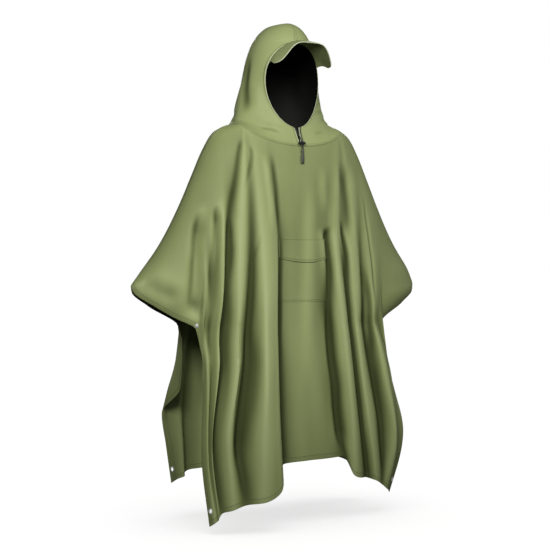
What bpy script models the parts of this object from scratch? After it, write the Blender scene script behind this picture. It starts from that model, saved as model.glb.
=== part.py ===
"""Rain poncho with a lined, peaked hood: panels, pocket, snaps, eyelets and drawcord.

Metres, +Z up.  The front faces -Y and the wearer's left is +X.  The origin is the middle of the
neck seam at shoulder height, where the wearer's shoulders carry the garment.

Each cloth piece is a wall between an outer and an inner grid of points.  A point is first found
as (x, depth, z), where depth is the distance in front of the shoulder plane, or behind it for
the back panel, and only then turned into world coordinates.
"""
import math
from collections import namedtuple

import bmesh
import bpy
import numpy as np
from mathutils import Matrix, Vector
from mathutils.bvhtree import BVHTree

# ---------------------------------------------------------------- driving dimensions (metres)
SEAM_GAP = 0.0003
CLOTH = 0.0016
LINING_CLOTH = 0.0012
POCKET_CLOTH = 0.0012

NECK_HALF_WIDTH = 0.190
NECK_FRONT_DROP = 0.070
NECK_STEPS = 7
NECK_PLACE = 0.5

SEAM_STEPS = 10
WING_TIP_HEIGHT = -0.525
SNAP_HEIGHT = -0.66

# Over-arm line from the side of the neck to the wing tip: the right arm is held out a little more.
ArmPoint = namedtuple("ArmPoint", "height half_width")
SHOULDER_POINTS = (
    ArmPoint(0.000, 0.190),
    ArmPoint(-0.010, 0.222),
    ArmPoint(-0.028, 0.250),
    ArmPoint(-0.079, 0.284),
    ArmPoint(-0.173, 0.328),
    ArmPoint(-0.270, 0.373),
)
RIGHT_ARM_LINE = SHOULDER_POINTS + (
    ArmPoint(-0.370, 0.427),
    ArmPoint(-0.425, 0.464),
    ArmPoint(-0.475, 0.504),
    ArmPoint(WING_TIP_HEIGHT, 0.545),
)
LEFT_ARM_LINE = SHOULDER_POINTS + (
    ArmPoint(-0.370, 0.425),
    ArmPoint(-0.425, 0.463),
    ArmPoint(-0.475, 0.501),
    ArmPoint(WING_TIP_HEIGHT, 0.530),
)

# Centre depth in front of the shoulder plane, and behind it.
Depth = namedtuple("Depth", "height front back")
CENTRE_DEPTH = (
    Depth(0.00, 0.112, 0.125),
    Depth(-0.07, 0.120, 0.140),
    Depth(-0.20, 0.135, 0.150),
    Depth(-0.41, 0.150, 0.152),
    Depth(-0.65, 0.160, 0.155),
    Depth(-0.90, 0.175, 0.165),
    Depth(-1.27, 0.200, 0.180),
)

# Side edges below the wing tip: the section's half width and its depth there, and the cloth's edge.
Edge = namedtuple("Edge", "height widest side_depth edge_x edge_depth")
FRONT_RIGHT_EDGE = (
    Edge(WING_TIP_HEIGHT, 0.545, 0.000, 0.545, 0.000),
    Edge(-0.545, 0.538, 0.008, 0.538, 0.008),
    Edge(-0.59, 0.480, 0.042, 0.480, 0.042),
    Edge(-0.625, 0.424, 0.066, 0.424, 0.062),
    Edge(SNAP_HEIGHT, 0.366, 0.094, 0.364, 0.084),
    Edge(-0.70, 0.352, 0.112, 0.358, 0.100),
    Edge(-0.77, 0.346, 0.142, 0.353, 0.120),
    Edge(-1.05, 0.352, 0.160, 0.366, 0.134),
    Edge(-1.27, 0.350, 0.206, 0.361, 0.182),
)
FRONT_LEFT_EDGE = (
    Edge(WING_TIP_HEIGHT, 0.530, 0.000, 0.530, 0.000),
    Edge(-0.545, 0.525, 0.010, 0.525, 0.010),
    Edge(-0.59, 0.460, 0.040, 0.458, 0.040),
    Edge(SNAP_HEIGHT, 0.340, 0.090, 0.342, 0.080),
    Edge(-0.85, 0.340, 0.146, 0.357, 0.128),
    Edge(-1.02, 0.362, 0.172, 0.383, 0.156),
    Edge(-1.27, 0.326, 0.134, 0.344, 0.112),
)
BACK_RIGHT_EDGE = (
    Edge(WING_TIP_HEIGHT, 0.545, 0.000, 0.545, 0.000),
    Edge(-0.545, 0.539, 0.006, 0.539, 0.006),
    Edge(-0.59, 0.488, 0.030, 0.484, 0.028),
    Edge(SNAP_HEIGHT, 0.362, 0.084, 0.358, 0.050),
    Edge(-0.77, 0.346, 0.120, 0.344, 0.052),
    Edge(-0.86, 0.344, 0.152, 0.346, 0.062),
    Edge(-0.95, 0.342, 0.180, 0.366, 0.160),
    Edge(-1.05, 0.330, 0.166, 0.356, 0.150),
    Edge(-1.27, 0.302, 0.150, 0.330, 0.132),
)
BACK_LEFT_EDGE = (
    Edge(WING_TIP_HEIGHT, 0.530, 0.000, 0.530, 0.000),
    Edge(-0.545, 0.525, 0.008, 0.525, 0.008),
    Edge(-0.59, 0.450, 0.034, 0.444, 0.030),
    Edge(-0.64, 0.356, 0.078, 0.350, 0.050),
    Edge(-0.70, 0.346, 0.094, 0.343, 0.056),
    Edge(-0.82, 0.342, 0.120, 0.344, 0.066),
    Edge(-1.00, 0.352, 0.124, 0.364, 0.084),
    Edge(-1.27, 0.352, 0.112, 0.374, 0.082),
)

# Creases from the top line down to the hem.  place runs from 0 at the centre, over 0.5 at the
# side of the neck, to 1 at the wing tip.  x and relief (outward) are given at three levels.
LEVELS = (0.0, 0.3, 0.6, 1.0)
Crease = namedtuple("Crease", "place chest_x waist_x hem_x chest waist hem hem_height")
FRONT_RIGHT_CREASES = (
    Crease(0.000, 0.000, 0.000, 0.000, 0.000, 0.000, 0.000, -1.085),
    Crease(0.214, 0.093, 0.100, 0.104, -0.004, -0.014, -0.010, -1.092),
    Crease(0.250, 0.116, 0.122, 0.146, 0.008, 0.034, 0.072, -1.160),
    Crease(0.321, 0.160, 0.174, 0.204, 0.018, 0.052, 0.080, -1.186),
    Crease(0.393, 0.196, 0.208, 0.256, -0.010, -0.026, 0.046, -1.197),
    Crease(0.440, 0.226, 0.244, 0.292, 0.008, 0.024, 0.046, -1.206),
    Crease(0.500, 0.252, 0.275, 0.320, -0.014, -0.028, 0.016, -1.219),
    Crease(0.600, 0.286, 0.311, 0.337, 0.006, 0.013, 0.014, -1.234),
    Crease(0.700, 0.312, 0.331, 0.346, -0.014, -0.010, 0.004, -1.244),
    Crease(0.800, 0.344, 0.347, 0.355, 0.002, 0.004, 0.002, -1.250),
    Crease(1.000, 0.356, 0.360, 0.360, 0.000, 0.000, 0.000, -1.262),
)
FRONT_LEFT_CREASES = (
    Crease(0.000, 0.000, 0.000, 0.000, 0.000, 0.000, 0.000, -1.085),
    Crease(0.214, 0.092, 0.108, 0.147, -0.008, -0.022, -0.022, -1.086),
    Crease(0.250, 0.102, 0.122, 0.150, 0.000, 0.004, 0.010, -1.139),
    Crease(0.286, 0.116, 0.142, 0.162, 0.004, 0.016, 0.020, -1.150),
    Crease(0.357, 0.162, 0.190, 0.230, -0.008, -0.022, -0.024, -1.163),
    Crease(0.429, 0.190, 0.208, 0.250, 0.002, 0.010, 0.018, -1.172),
    Crease(0.550, 0.236, 0.264, 0.286, -0.012, -0.028, -0.024, -1.190),
    Crease(0.700, 0.278, 0.314, 0.310, 0.006, 0.018, 0.008, -1.208),
    Crease(0.800, 0.312, 0.340, 0.328, -0.004, -0.004, -0.002, -1.216),
    Crease(1.000, 0.340, 0.360, 0.344, 0.000, 0.000, 0.000, -1.230),
)
BACK_RIGHT_CREASES = (
    Crease(0.000, 0.000, 0.000, 0.000, 0.000, 0.006, 0.012, -1.075),
    Crease(0.214, 0.080, 0.088, 0.094, -0.006, -0.016, -0.022, -1.085),
    Crease(0.357, 0.140, 0.152, 0.164, 0.006, 0.020, 0.034, -1.112),
    Crease(0.500, 0.206, 0.208, 0.216, -0.008, -0.020, -0.024, -1.136),
    Crease(0.625, 0.262, 0.262, 0.262, 0.004, 0.014, 0.026, -1.152),
    Crease(0.720, 0.310, 0.306, 0.286, -0.008, -0.012, -0.008, -1.164),
    Crease(0.800, 0.342, 0.344, 0.304, 0.000, 0.000, 0.004, -1.170),
    Crease(1.000, 0.346, 0.356, 0.332, 0.000, 0.000, 0.000, -1.178),
)
BACK_LEFT_CREASES = (
    Crease(0.000, 0.000, 0.000, 0.000, 0.000, 0.006, 0.012, -1.075),
    Crease(0.214, 0.074, 0.080, 0.096, -0.004, -0.012, -0.020, -1.086),
    Crease(0.357, 0.150, 0.160, 0.180, 0.008, 0.022, 0.030, -1.104),
    Crease(0.500, 0.212, 0.216, 0.236, -0.010, -0.022, -0.026, -1.122),
    Crease(0.625, 0.256, 0.262, 0.286, 0.004, 0.016, 0.022, -1.134),
    Crease(0.720, 0.304, 0.308, 0.322, -0.008, -0.012, -0.008, -1.146),
    Crease(0.800, 0.336, 0.344, 0.350, 0.000, 0.000, 0.004, -1.162),
    Crease(1.000, 0.340, 0.360, 0.372, 0.000, 0.000, 0.000, -1.196),
)
LEVEL_PLACE = 0.214
LEVEL_FADE = 0.1
TURN_PLACE = 0.80
EDGE_PULL_PLACE = 0.70
EDGE_STRIP_START, EDGE_STRIP_FULL = 0.10, 0.28
RIDGE_WIDTH = 1.35
NECK_CURVE = 1.2
NECK_LEAN, NECK_SIDE_LEAN = 6.0, 30.0

# Section of a panel: 1 - (x / half width) ** power, to a root; it opens out below the arms.
SECTION_POWER, SECTION_POWER_OPEN = 2.2, 3.0
SECTION_ROOT, SECTION_ROOT_OPEN = 0.5, 0.9
SECTION_OPENS, SECTION_OPEN = 0.44, 0.66

ROW_FRACTIONS = tuple(step * 0.05 for step in range(19)) + (1.0,)

# Hood, from the neck seam up: the side of each section, its widest depth and its back.
HoodSection = namedtuple("HoodSection", "side_height half_width side_depth back_depth back_height")
HOOD_SECTIONS = (
    HoodSection(0.000, 0.190, 0.000, -0.125, 0.000),
    HoodSection(0.018, 0.173, -0.008, -0.142, 0.022),
    HoodSection(0.042, 0.161, -0.014, -0.152, 0.048),
    HoodSection(0.072, 0.151, -0.017, -0.156, 0.080),
    HoodSection(0.106, 0.143, -0.016, -0.154, 0.114),
    HoodSection(0.142, 0.135, -0.012, -0.150, 0.150),
    HoodSection(0.178, 0.127, -0.008, -0.145, 0.186),
    HoodSection(0.212, 0.119, -0.004, -0.138, 0.220),
    HoodSection(0.244, 0.109, -0.002, -0.128, 0.252),
    HoodSection(0.270, 0.099, -0.002, -0.117, 0.276),
    HoodSection(0.293, 0.086, -0.003, -0.103, 0.296),
    HoodSection(0.314, 0.069, -0.004, -0.086, 0.313),
    HoodSection(0.331, 0.045, -0.004, -0.066, 0.327),
    HoodSection(0.341, 0.000, 0.000, -0.044, 0.336),
)
CROWN_HEIGHT = 0.339
CROWN_ARCH = 0.004

FACE_CENTRE_HEIGHT = 0.128
FACE_HALF_HEIGHT = 0.138
FACE_HALF_WIDTH = 0.100
FACE_EGG = 0.12
FACE_SIDE_DEPTH = 0.067
FACE_END_DEPTH = 0.094
SLIT_ROWS = 2
FACE_ROWS = 7
SLIT_TOP_HALF_WIDTH = 0.008
SLIT_BOTTOM_HALF_WIDTH = 0.0012
FRONT_CROWN_DEPTH = 0.034

LINING_SETBACK = 0.004
LINING_NECK_SHARE = 0.1

VISOR_START = math.radians(119)
VISOR_STEPS = 10
VISOR_RINGS = 3
VISOR_THICKNESS = 0.003
VISOR_HALF_WIDTH = 0.104
VISOR_CORNER_DEPTH = 0.125
VISOR_FRONT_DEPTH = 0.188
VISOR_TOP_HEIGHT = 0.2535
VISOR_DROP = 0.066
VISOR_DROP_PLACE = 2.2
VISOR_BULGE = 0.006
VISOR_SIDE_CURVE = 0.9
VISOR_BLUNTNESS = 3.5
HOOD_FLARE, HOOD_FLARE_DEPTH = 1.06, 0.02

POCKET_COLUMNS = 6
POCKET_TOP_ROW = 6
POCKET_BOTTOM_ROW = 10
FLAP_SIDE_FALL = 0.30
FLAP_MIDDLE_FALL = 0.375
FLAP_LIFT = 0.0006

SNAP_RADIUS = 0.0060
SNAP_THICKNESS = 0.0022
SNAP_INSET = 0.012
SNAP_SIDES = 14
SNAP_REACH = 0.010
FITTING_MARGIN = 0.0001

EYELET_HOLE_RADIUS = 0.0062
EYELET_BARREL_RADIUS = 0.0072
EYELET_FLANGE_RADIUS = 0.0091
EYELET_FLANGE = 0.0007
PUNCH_DEPTH = 0.012
EYELET_RISE = 0.036
EYELET_INSET = 0.017
EYELET_SIDES = 16

CORD_RADIUS = 0.0014
CORD_SPACING = 0.0018
CORD_POINTS = 20
CORD_TOP_DEPTH = 0.0943
LOCK_HEIGHT = -0.064
LOCK_DEPTH = 0.1300
LOCK_RADIUS = 0.0050
LOCK_LENGTH = 0.025
LOCK_CAP_RADIUS = 0.0042
LOCK_CAP_LENGTH = 0.004
LOCK_SLOT_HALF = 0.0038
LOCK_SLOT_DEPTH = 0.0024
LOCK_SLOT_HEIGHT = 0.03
LOCK_SIDES = 20
CORD_END_TOP = -0.0845
CORD_END_DEPTH = 0.1335
CORD_END_HALF_WIDTH = 0.0062
CORD_END_HALF_DEPTH = 0.0036
CORD_END_SIDES = 14
CORD_END_GAP = 0.00036
# How far down the cord end each section is, and its shares of the half width and half depth.
EndSection = namedtuple("EndSection", "fall wide deep")
CORD_END_SECTIONS = (
    EndSection(0.000, 0.55, 0.62), EndSection(0.004, 0.72, 0.90), EndSection(0.009, 0.72, 0.90),
    EndSection(0.012, 0.50, 0.70), EndSection(0.016, 0.78, 0.86), EndSection(0.024, 1.00, 1.00),
    EndSection(0.042, 0.92, 0.92), EndSection(0.046, 0.70, 0.60),
)
CordStop = namedtuple("CordStop", "offset depth height")
CORD_STOPS = (
    CordStop(0.0125, CORD_TOP_DEPTH, -0.0080),
    CordStop(0.0118, CORD_TOP_DEPTH + 0.0045, -0.0095),
    CordStop(0.0088, CORD_TOP_DEPTH + 0.0095, -0.0170),
    CordStop(0.0056, 0.1120, -0.0300),
    CordStop(0.0030, 0.1250, -0.0480),
    CordStop(CORD_SPACING, LOCK_DEPTH, -0.0560),
    CordStop(CORD_SPACING, LOCK_DEPTH, -0.0710),
    CordStop(CORD_SPACING, CORD_END_DEPTH, -0.0800),
    CordStop(CORD_SPACING, CORD_END_DEPTH, CORD_END_TOP + CORD_END_GAP),
)

OLIVE = (0.215, 0.250, 0.098)
OLIVE_INSIDE = (0.150, 0.170, 0.080)
LINING_BLACK = (0.012, 0.013, 0.011)
TRIM_BLACK = (0.018, 0.019, 0.015)
SNAP_METAL = (0.62, 0.62, 0.60)
END_OLIVE_GREY = (0.060, 0.066, 0.040)

FRONT = -1.0
BACK = 1.0
RIGHT = -1.0
LEFT = 1.0


# ---------------------------------------------------------------- interpolation
def smooth_through(xs, ys, at):
    """Monotone cubic through (xs, ys), which never swings past its own points."""
    xs, ys, at = np.asarray(xs, float), np.asarray(ys, float), np.asarray(at, float)
    if xs[0] > xs[-1]:
        xs, ys = xs[::-1], ys[::-1]
    steps = np.diff(xs)
    slopes = np.diff(ys) / steps
    tangents = np.zeros_like(ys)
    tangents[0], tangents[-1] = slopes[0], slopes[-1]
    same_way = slopes[:-1] * slopes[1:] > 0
    weight_a = 2 * steps[1:] + steps[:-1]
    weight_b = steps[1:] + 2 * steps[:-1]
    with np.errstate(divide="ignore", invalid="ignore"):
        mean = (weight_a + weight_b) / (weight_a / slopes[:-1] + weight_b / slopes[1:])
    tangents[1:-1] = np.where(same_way, mean, 0.0)
    at = np.clip(at, xs[0], xs[-1])
    span = np.clip(np.searchsorted(xs, at) - 1, 0, len(steps) - 1)
    u = (at - xs[span]) / steps[span]
    return (ys[span] * (1 + 2 * u) * (1 - u) ** 2 + tangents[span] * steps[span] * u * (1 - u) ** 2
            + ys[span + 1] * u * u * (3 - 2 * u) + tangents[span + 1] * steps[span] * u * u * (u - 1))


def column(table, name):
    """One named column of a table as an array."""
    return np.array([getattr(row, name) for row in table], float)


def ease(value, start, end):
    """0 before start, 1 after end, with a smooth run between them."""
    u = np.clip((value - start) / (end - start), 0.0, 1.0)
    return u * u * (3 - 2 * u)


# ---------------------------------------------------------------- panels
class Side:
    """One half of a panel: its side edge, its creases and the section that they ride on."""

    def __init__(self, facing, hand, edges, creases):
        self.facing = facing
        self.hand = hand
        self.arm_line = RIGHT_ARM_LINE if hand == RIGHT else LEFT_ARM_LINE
        self.edges = edges
        self.creases = creases

    def half_width(self, height):
        """Half width of the level section: the over-arm line, then the widest point below it."""
        above = smooth_through(column(self.arm_line, "height"),
                               column(self.arm_line, "half_width"), height)
        below = smooth_through(column(self.edges, "height"), column(self.edges, "widest"), height)
        return np.where(height > WING_TIP_HEIGHT, above, below)

    def base_depth(self, x, height):
        """Depth of the plain section, an oval above the wing tip that opens out below it."""
        centre_name = "front" if self.facing == FRONT else "back"
        centre = smooth_through(column(CENTRE_DEPTH, "height"),
                                column(CENTRE_DEPTH, centre_name), height)
        side = smooth_through(column(self.edges, "height"), column(self.edges, "side_depth"), height)
        side = np.where(height > WING_TIP_HEIGHT, 0.0, side)
        across = np.clip(x / self.half_width(height), 0.0, 1.0)
        opened = ease(-height, SECTION_OPENS, SECTION_OPEN)
        power = SECTION_POWER + (SECTION_POWER_OPEN - SECTION_POWER) * opened
        root = SECTION_ROOT + (SECTION_ROOT_OPEN - SECTION_ROOT) * opened
        return side + (centre - side) * (1 - across ** power) ** root

    def neck_point(self, angle):
        """Neck seam, from the centre line (0) to the side of the neck (90 degrees)."""
        x = NECK_HALF_WIDTH * np.sin(angle)
        drop = NECK_FRONT_DROP if self.facing == FRONT else 0.0
        height = -drop * np.clip(np.cos(angle), 0.0, 1.0) ** NECK_CURVE
        return x, self.base_depth(x, height), height

    def top_line(self, place):
        """Neck seam as straight steps, then the over-arm line out to the wing tip."""
        step_angles = np.linspace(0.0, math.pi / 2, NECK_STEPS + 1)
        neck = np.array([self.neck_point(angle) for angle in step_angles])
        stops = np.linspace(0.0, NECK_PLACE, NECK_STEPS + 1)
        on_neck = [np.interp(place, stops, neck[:, axis]) for axis in range(3)]
        heights = column(self.arm_line, "height")
        widths = column(self.arm_line, "half_width")
        lengths = np.concatenate(([0.0], np.cumsum(np.hypot(np.diff(heights), np.diff(widths)))))
        along = np.clip((place - NECK_PLACE) / (1 - NECK_PLACE), 0.0, 1.0) * lengths[-1]
        height = smooth_through(lengths, heights, along)
        width = smooth_through(lengths, widths, along)
        past_neck = place > NECK_PLACE
        return (np.where(past_neck, width, on_neck[0]), np.where(past_neck, 0.0, on_neck[1]),
                np.where(past_neck, height, on_neck[2]))

    def points(self, places, rows):
        """Grid of (x, depth, height) for places across the half and rows down it."""
        top_x, top_depth, top_height = self.top_line(places)
        crease_places = column(self.creases, "place")
        hem_height = smooth_through(crease_places, column(self.creases, "hem_height"), places)
        down = np.asarray(rows)[:, None]
        height = top_height + (hem_height - top_height) * down
        level = 1 - ease(places, LEVEL_PLACE, LEVEL_PLACE + LEVEL_FADE)
        level = level * (ease(down, 0.0, 0.2) * (1 - ease(down, 0.55, 0.9)))
        height = height + (height[:, :1] - height) * level

        level_x = [top_x] + [smooth_through(crease_places, column(self.creases, name), places)
                             for name in ("chest_x", "waist_x", "hem_x")]
        x = np.array([smooth_through(LEVELS, across, rows) for across in np.array(level_x).T]).T
        edge_height = height[:, -1]
        edge_x = np.where(edge_height > WING_TIP_HEIGHT, top_x[-1],
                          smooth_through(column(self.edges, "height"),
                                         column(self.edges, "edge_x"), edge_height))
        near_edge = ease(places, EDGE_PULL_PLACE, 1.0)
        x = x + (edge_x - x[:, -1])[:, None] * near_edge

        depth = self.base_depth(x, height) + self.relief(places, rows)
        depth[0] = top_depth
        return self.edge_strip(places, rows, x, depth, height)

    def edge_strip(self, places, rows, x, depth, height):
        """Grid with the strip beside the side edge drawn straight, as its hem keeps it."""
        edge_depth = smooth_through(column(self.edges, "height"),
                                    column(self.edges, "edge_depth"), height[:, -1])
        straight = ease(np.asarray(rows)[:, None], EDGE_STRIP_START, EDGE_STRIP_FULL)
        depth[:, -1:] += (edge_depth[:, None] - depth[:, -1:]) * straight
        turn = int(np.argmin(np.abs(places - TURN_PLACE)))
        share = np.clip((places - places[turn]) / (1 - places[turn]), 0.0, 1.0)
        share_of = straight * (places > places[turn])
        return tuple(part + (part[:, turn:turn + 1] * (1 - share) + part[:, -1:] * share - part)
                     * share_of for part in (x, depth, height))

    def relief(self, places, rows):
        """Outward swing of the creases, level at each ridge and valley."""
        crease_places = column(self.creases, "place")
        levels = np.array([np.zeros(len(self.creases))]
                          + [column(self.creases, name) for name in ("chest", "waist", "hem")])
        by_row = np.array([smooth_through(LEVELS, levels[:, k], rows)
                           for k in range(len(self.creases))]).T
        span = np.clip(np.searchsorted(crease_places, places, side="right") - 1,
                       0, len(self.creases) - 2)
        u = (places - crease_places[span]) / (crease_places[span + 1] - crease_places[span])
        start, end = by_row[:, span], by_row[:, span + 1]
        falling = end < start
        from_ridge = np.where(falling, u, 1 - u) ** RIDGE_WIDTH
        fall = 0.5 - 0.5 * np.cos(np.pi * from_ridge)
        ridge, valley = np.maximum(start, end), np.minimum(start, end)
        return ridge + (valley - ridge) * fall

    def places(self, neck_steps):
        """Places across the half: even steps round the neck, then along the over-arm line."""
        neck = np.linspace(0.0, NECK_PLACE, neck_steps + 1)
        seam = np.linspace(NECK_PLACE, 1.0, SEAM_STEPS + 1)
        return np.concatenate((neck, seam[1:]))


FRONT_RIGHT = Side(FRONT, RIGHT, FRONT_RIGHT_EDGE, FRONT_RIGHT_CREASES)
FRONT_LEFT = Side(FRONT, LEFT, FRONT_LEFT_EDGE, FRONT_LEFT_CREASES)
BACK_RIGHT = Side(BACK, RIGHT, BACK_RIGHT_EDGE, BACK_RIGHT_CREASES)
BACK_LEFT = Side(BACK, LEFT, BACK_LEFT_EDGE, BACK_LEFT_CREASES)


def world_grid(side, x, depth, height):
    """(x, depth, height) of one half as world points."""
    y = side.facing * np.maximum(depth, SEAM_GAP / 2)
    return np.stack((side.hand * x, y, height), axis=-1)


def grid_normals(grid):
    """Unit normals of a grid of points, from its rows and columns."""
    down = np.gradient(grid, axis=0)
    across = np.gradient(grid, axis=1)
    normals = np.cross(across, down)
    return normals / np.maximum(np.linalg.norm(normals, axis=-1, keepdims=True), 1e-12)


def neck_directions(points):
    """At neck seam points: the way into the wall, and the way from panel to hood across it."""
    outward = points * (1.0, 1.0, 0.0)
    outward /= np.linalg.norm(outward, axis=-1, keepdims=True)
    sideness = np.abs(points[:, :1]) / NECK_HALF_WIDTH
    lean = np.radians(NECK_LEAN + NECK_SIDE_LEAN * sideness ** 2)
    up = np.array((0.0, 0.0, 1.0))
    inward = -(outward * np.cos(lean) + up * np.sin(lean))
    across = -outward * np.sin(lean) + up * np.cos(lean)
    return inward, across


def panel_grid(right, left, neck_steps):
    """Outer points of a whole panel, from the wearer's right edge to the left edge."""
    halves = []
    for side in (right, left):
        places = side.places(neck_steps)
        halves.append(world_grid(side, *side.points(places, ROW_FRACTIONS)))
    return np.concatenate((halves[0][:, ::-1], halves[1][:, 1:]), axis=1)


def panel_inner(outer, facing):
    """Inner points of a panel, square to the shoulder plane and to the neck seam at its top."""
    normals = grid_normals(outer)
    if np.sum(normals[..., 1] * facing) < 0:
        normals = -normals
    normals[0, :SEAM_STEPS, 1] = 0.0
    normals[0, -SEAM_STEPS:, 1] = 0.0
    normals[0] /= np.linalg.norm(normals[0], axis=-1, keepdims=True)
    neck = slice(SEAM_STEPS, outer.shape[1] - SEAM_STEPS)
    normals[0, neck] = -neck_directions(outer[0, neck])[0]
    inner = outer - normals * CLOTH
    limit = SEAM_GAP / 2
    if facing == FRONT:
        inner[..., 1] = np.minimum(inner[..., 1], -limit)
    else:
        inner[..., 1] = np.maximum(inner[..., 1], limit)
    return inner, normals


# ---------------------------------------------------------------- meshes
def material(name, colour, roughness, metallic=0.0):
    """Principled material."""
    made = bpy.data.materials.new(name)
    made.use_nodes = True
    shader = made.node_tree.nodes["Principled BSDF"]
    shader.inputs["Base Color"].default_value = (*colour, 1.0)
    shader.inputs["Roughness"].default_value = roughness
    shader.inputs["Metallic"].default_value = metallic
    made.diffuse_color = (*colour, 1.0)
    return made


def add_object(name, mesh, finish):
    """Object from a mesh, smooth apart from its sharp edges."""
    mesh.materials.append(finish)
    mesh.shade_smooth()
    mesh.set_sharp_from_angle(angle=math.radians(40))
    made = bpy.data.objects.new(name, mesh)
    bpy.context.scene.collection.objects.link(made)
    return made


def wall(name, outer, inner, finish):
    """Closed wall between two grids of the same size."""
    rows, columns = outer.shape[:2]
    count = rows * columns
    points = np.concatenate((outer.reshape(-1, 3), inner.reshape(-1, 3)))
    index = np.arange(count).reshape(rows, columns)
    faces = []
    for row in range(rows - 1):
        for col in range(columns - 1):
            corner = (index[row, col], index[row + 1, col], index[row + 1, col + 1],
                      index[row, col + 1])
            faces.append(corner)
            faces.append(tuple(k + count for k in reversed(corner)))
    rim = np.concatenate((index[0, :], index[1:, -1], index[-1, -2::-1], index[-2:0:-1, 0]))
    for here, after in zip(rim, np.roll(rim, -1)):
        faces.append((here, after, after + count, here + count))
    mesh = bpy.data.meshes.new(name)
    mesh.from_pydata(points.tolist(), [], [tuple(int(k) for k in face) for face in faces])
    split = bmesh.new()
    split.from_mesh(mesh)
    bmesh.ops.triangulate(split, faces=split.faces, quad_method="SHORT_EDGE")
    bmesh.ops.recalc_face_normals(split, faces=split.faces)
    split.to_mesh(mesh)
    split.free()
    return add_object(name, mesh, finish)


def turned(name, profile, sides, finish, frame):
    """Solid turned about its local Z axis from a (radius, height) profile, closed off the axis."""
    shape = bmesh.new()
    rings = []
    for step in range(sides):
        turn = math.tau * step / sides
        rings.append([shape.verts.new((radius * math.cos(turn), radius * math.sin(turn), height))
                      for radius, height in profile])
    count = len(profile)
    runs = count - 1 if profile[0][0] == 0 else count
    for step in range(sides):
        here, after = rings[step], rings[(step + 1) % sides]
        for k in range(runs):
            corners = [here[k], here[(k + 1) % count], after[(k + 1) % count], after[k]]
            shape.faces.new(corners)
    bmesh.ops.remove_doubles(shape, verts=shape.verts, dist=1e-7)
    bmesh.ops.dissolve_degenerate(shape, edges=shape.edges, dist=1e-7)
    bmesh.ops.triangulate(shape, faces=shape.faces)
    bmesh.ops.recalc_face_normals(shape, faces=shape.faces)
    mesh = bpy.data.meshes.new(name)
    shape.to_mesh(mesh)
    shape.free()
    made = add_object(name, mesh, finish)
    made.matrix_world = frame
    return made


def frame_at(point, normal):
    """Matrix with its Z axis along a normal."""
    turn = Vector(normal).to_track_quat("Z", "X")
    return Matrix.Translation(Vector(point)) @ turn.to_matrix().to_4x4()


# ---------------------------------------------------------------- panels and what is set in them
Site = namedtuple("Site", "point normal top bottom")


def on_grid(grid, row, col):
    """Points of a grid at fractional rows and columns."""
    row = np.clip(row, 0.0, grid.shape[0] - 1.001)
    col = np.clip(col, 0.0, grid.shape[1] - 1.001)
    r, c = np.floor(row).astype(int), np.floor(col).astype(int)
    u, v = (row - r)[..., None], (col - c)[..., None]
    return ((grid[r, c] * (1 - v) + grid[r, c + 1] * v) * (1 - u)
            + (grid[r + 1, c] * (1 - v) + grid[r + 1, c + 1] * v) * u)


def patch_points(grid, row, col):
    """Points of the cloth near a place: across its cells and along both diagonals of each."""
    rows = row + np.linspace(-1.2, 1.2, 81)
    cols = np.clip(col + np.linspace(-3.0, 3.0, 121), 0.0, None)
    smooth = on_grid(grid, *np.meshgrid(rows, cols, indexing="ij"))
    cells = grid[max(int(row) - 2, 0):int(row) + 4, :int(col) + 5]
    share = np.linspace(0.0, 1.0, 41)[:, None, None, None]
    falling = cells[:-1, :-1] + (cells[1:, 1:] - cells[:-1, :-1]) * share
    rising = cells[1:, :-1] + (cells[:-1, 1:] - cells[1:, :-1]) * share
    return np.concatenate([part.reshape(-1, 3) for part in (smooth, falling, rising)])


def fitting_site(outer, inner, hand, height, inset, radius):
    """Where a fitting of this radius sits beside a side edge, and how far the cloth swells there."""
    if hand == LEFT:
        outer, inner = outer[:, ::-1], inner[:, ::-1]
    row = float(np.interp(-height, -outer[:, 0, 2], np.arange(len(outer))))
    cols = np.linspace(0.0, 10.0, 401)
    line = on_grid(outer, np.full(cols.shape, row), cols)
    lengths = np.concatenate(([0.0], np.cumsum(np.linalg.norm(np.diff(line, axis=0), axis=1))))
    col = float(np.interp(inset, lengths, cols))
    point = on_grid(outer, np.array(row), np.array(col))
    patch = [patch_points(grid, row, col) for grid in (outer, inner)]
    inside = [points[np.linalg.norm(points - point, axis=1) < 1.2 * radius] for points in patch]
    centred = inside[0] - inside[0].mean(axis=0)
    normal = np.linalg.svd(centred, full_matrices=False)[2][2]
    middle = (point + on_grid(inner, np.array(row), np.array(col))) / 2
    if np.dot(normal, point - middle) < 0:
        normal = -normal
    top = float(np.max((inside[0] - middle) @ normal)) + FITTING_MARGIN
    bottom = float(np.min((inside[1] - middle) @ normal)) - FITTING_MARGIN
    return Site(middle, normal, top, bottom)


def punch(panel, site, hand_name):
    """Round hole through a panel for an eyelet's barrel."""
    shape = bmesh.new()
    bmesh.ops.create_cone(shape, cap_ends=True, segments=EYELET_SIDES, depth=PUNCH_DEPTH,
                          radius1=EYELET_BARREL_RADIUS + SEAM_GAP,
                          radius2=EYELET_BARREL_RADIUS + SEAM_GAP)
    mesh = bpy.data.meshes.new(f"{panel.name}_punch_{hand_name}")
    shape.to_mesh(mesh)
    shape.free()
    cutter = bpy.data.objects.new(mesh.name, mesh)
    bpy.context.scene.collection.objects.link(cutter)
    cutter.matrix_world = frame_at(site.point, site.normal)
    cutter.hide_render = True
    cutter.display_type = "WIRE"
    cut = panel.modifiers.new(f"punch_{hand_name}", "BOOLEAN")
    cut.operation = "DIFFERENCE"
    cut.object = cutter
    cut.solver = "MANIFOLD"


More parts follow.
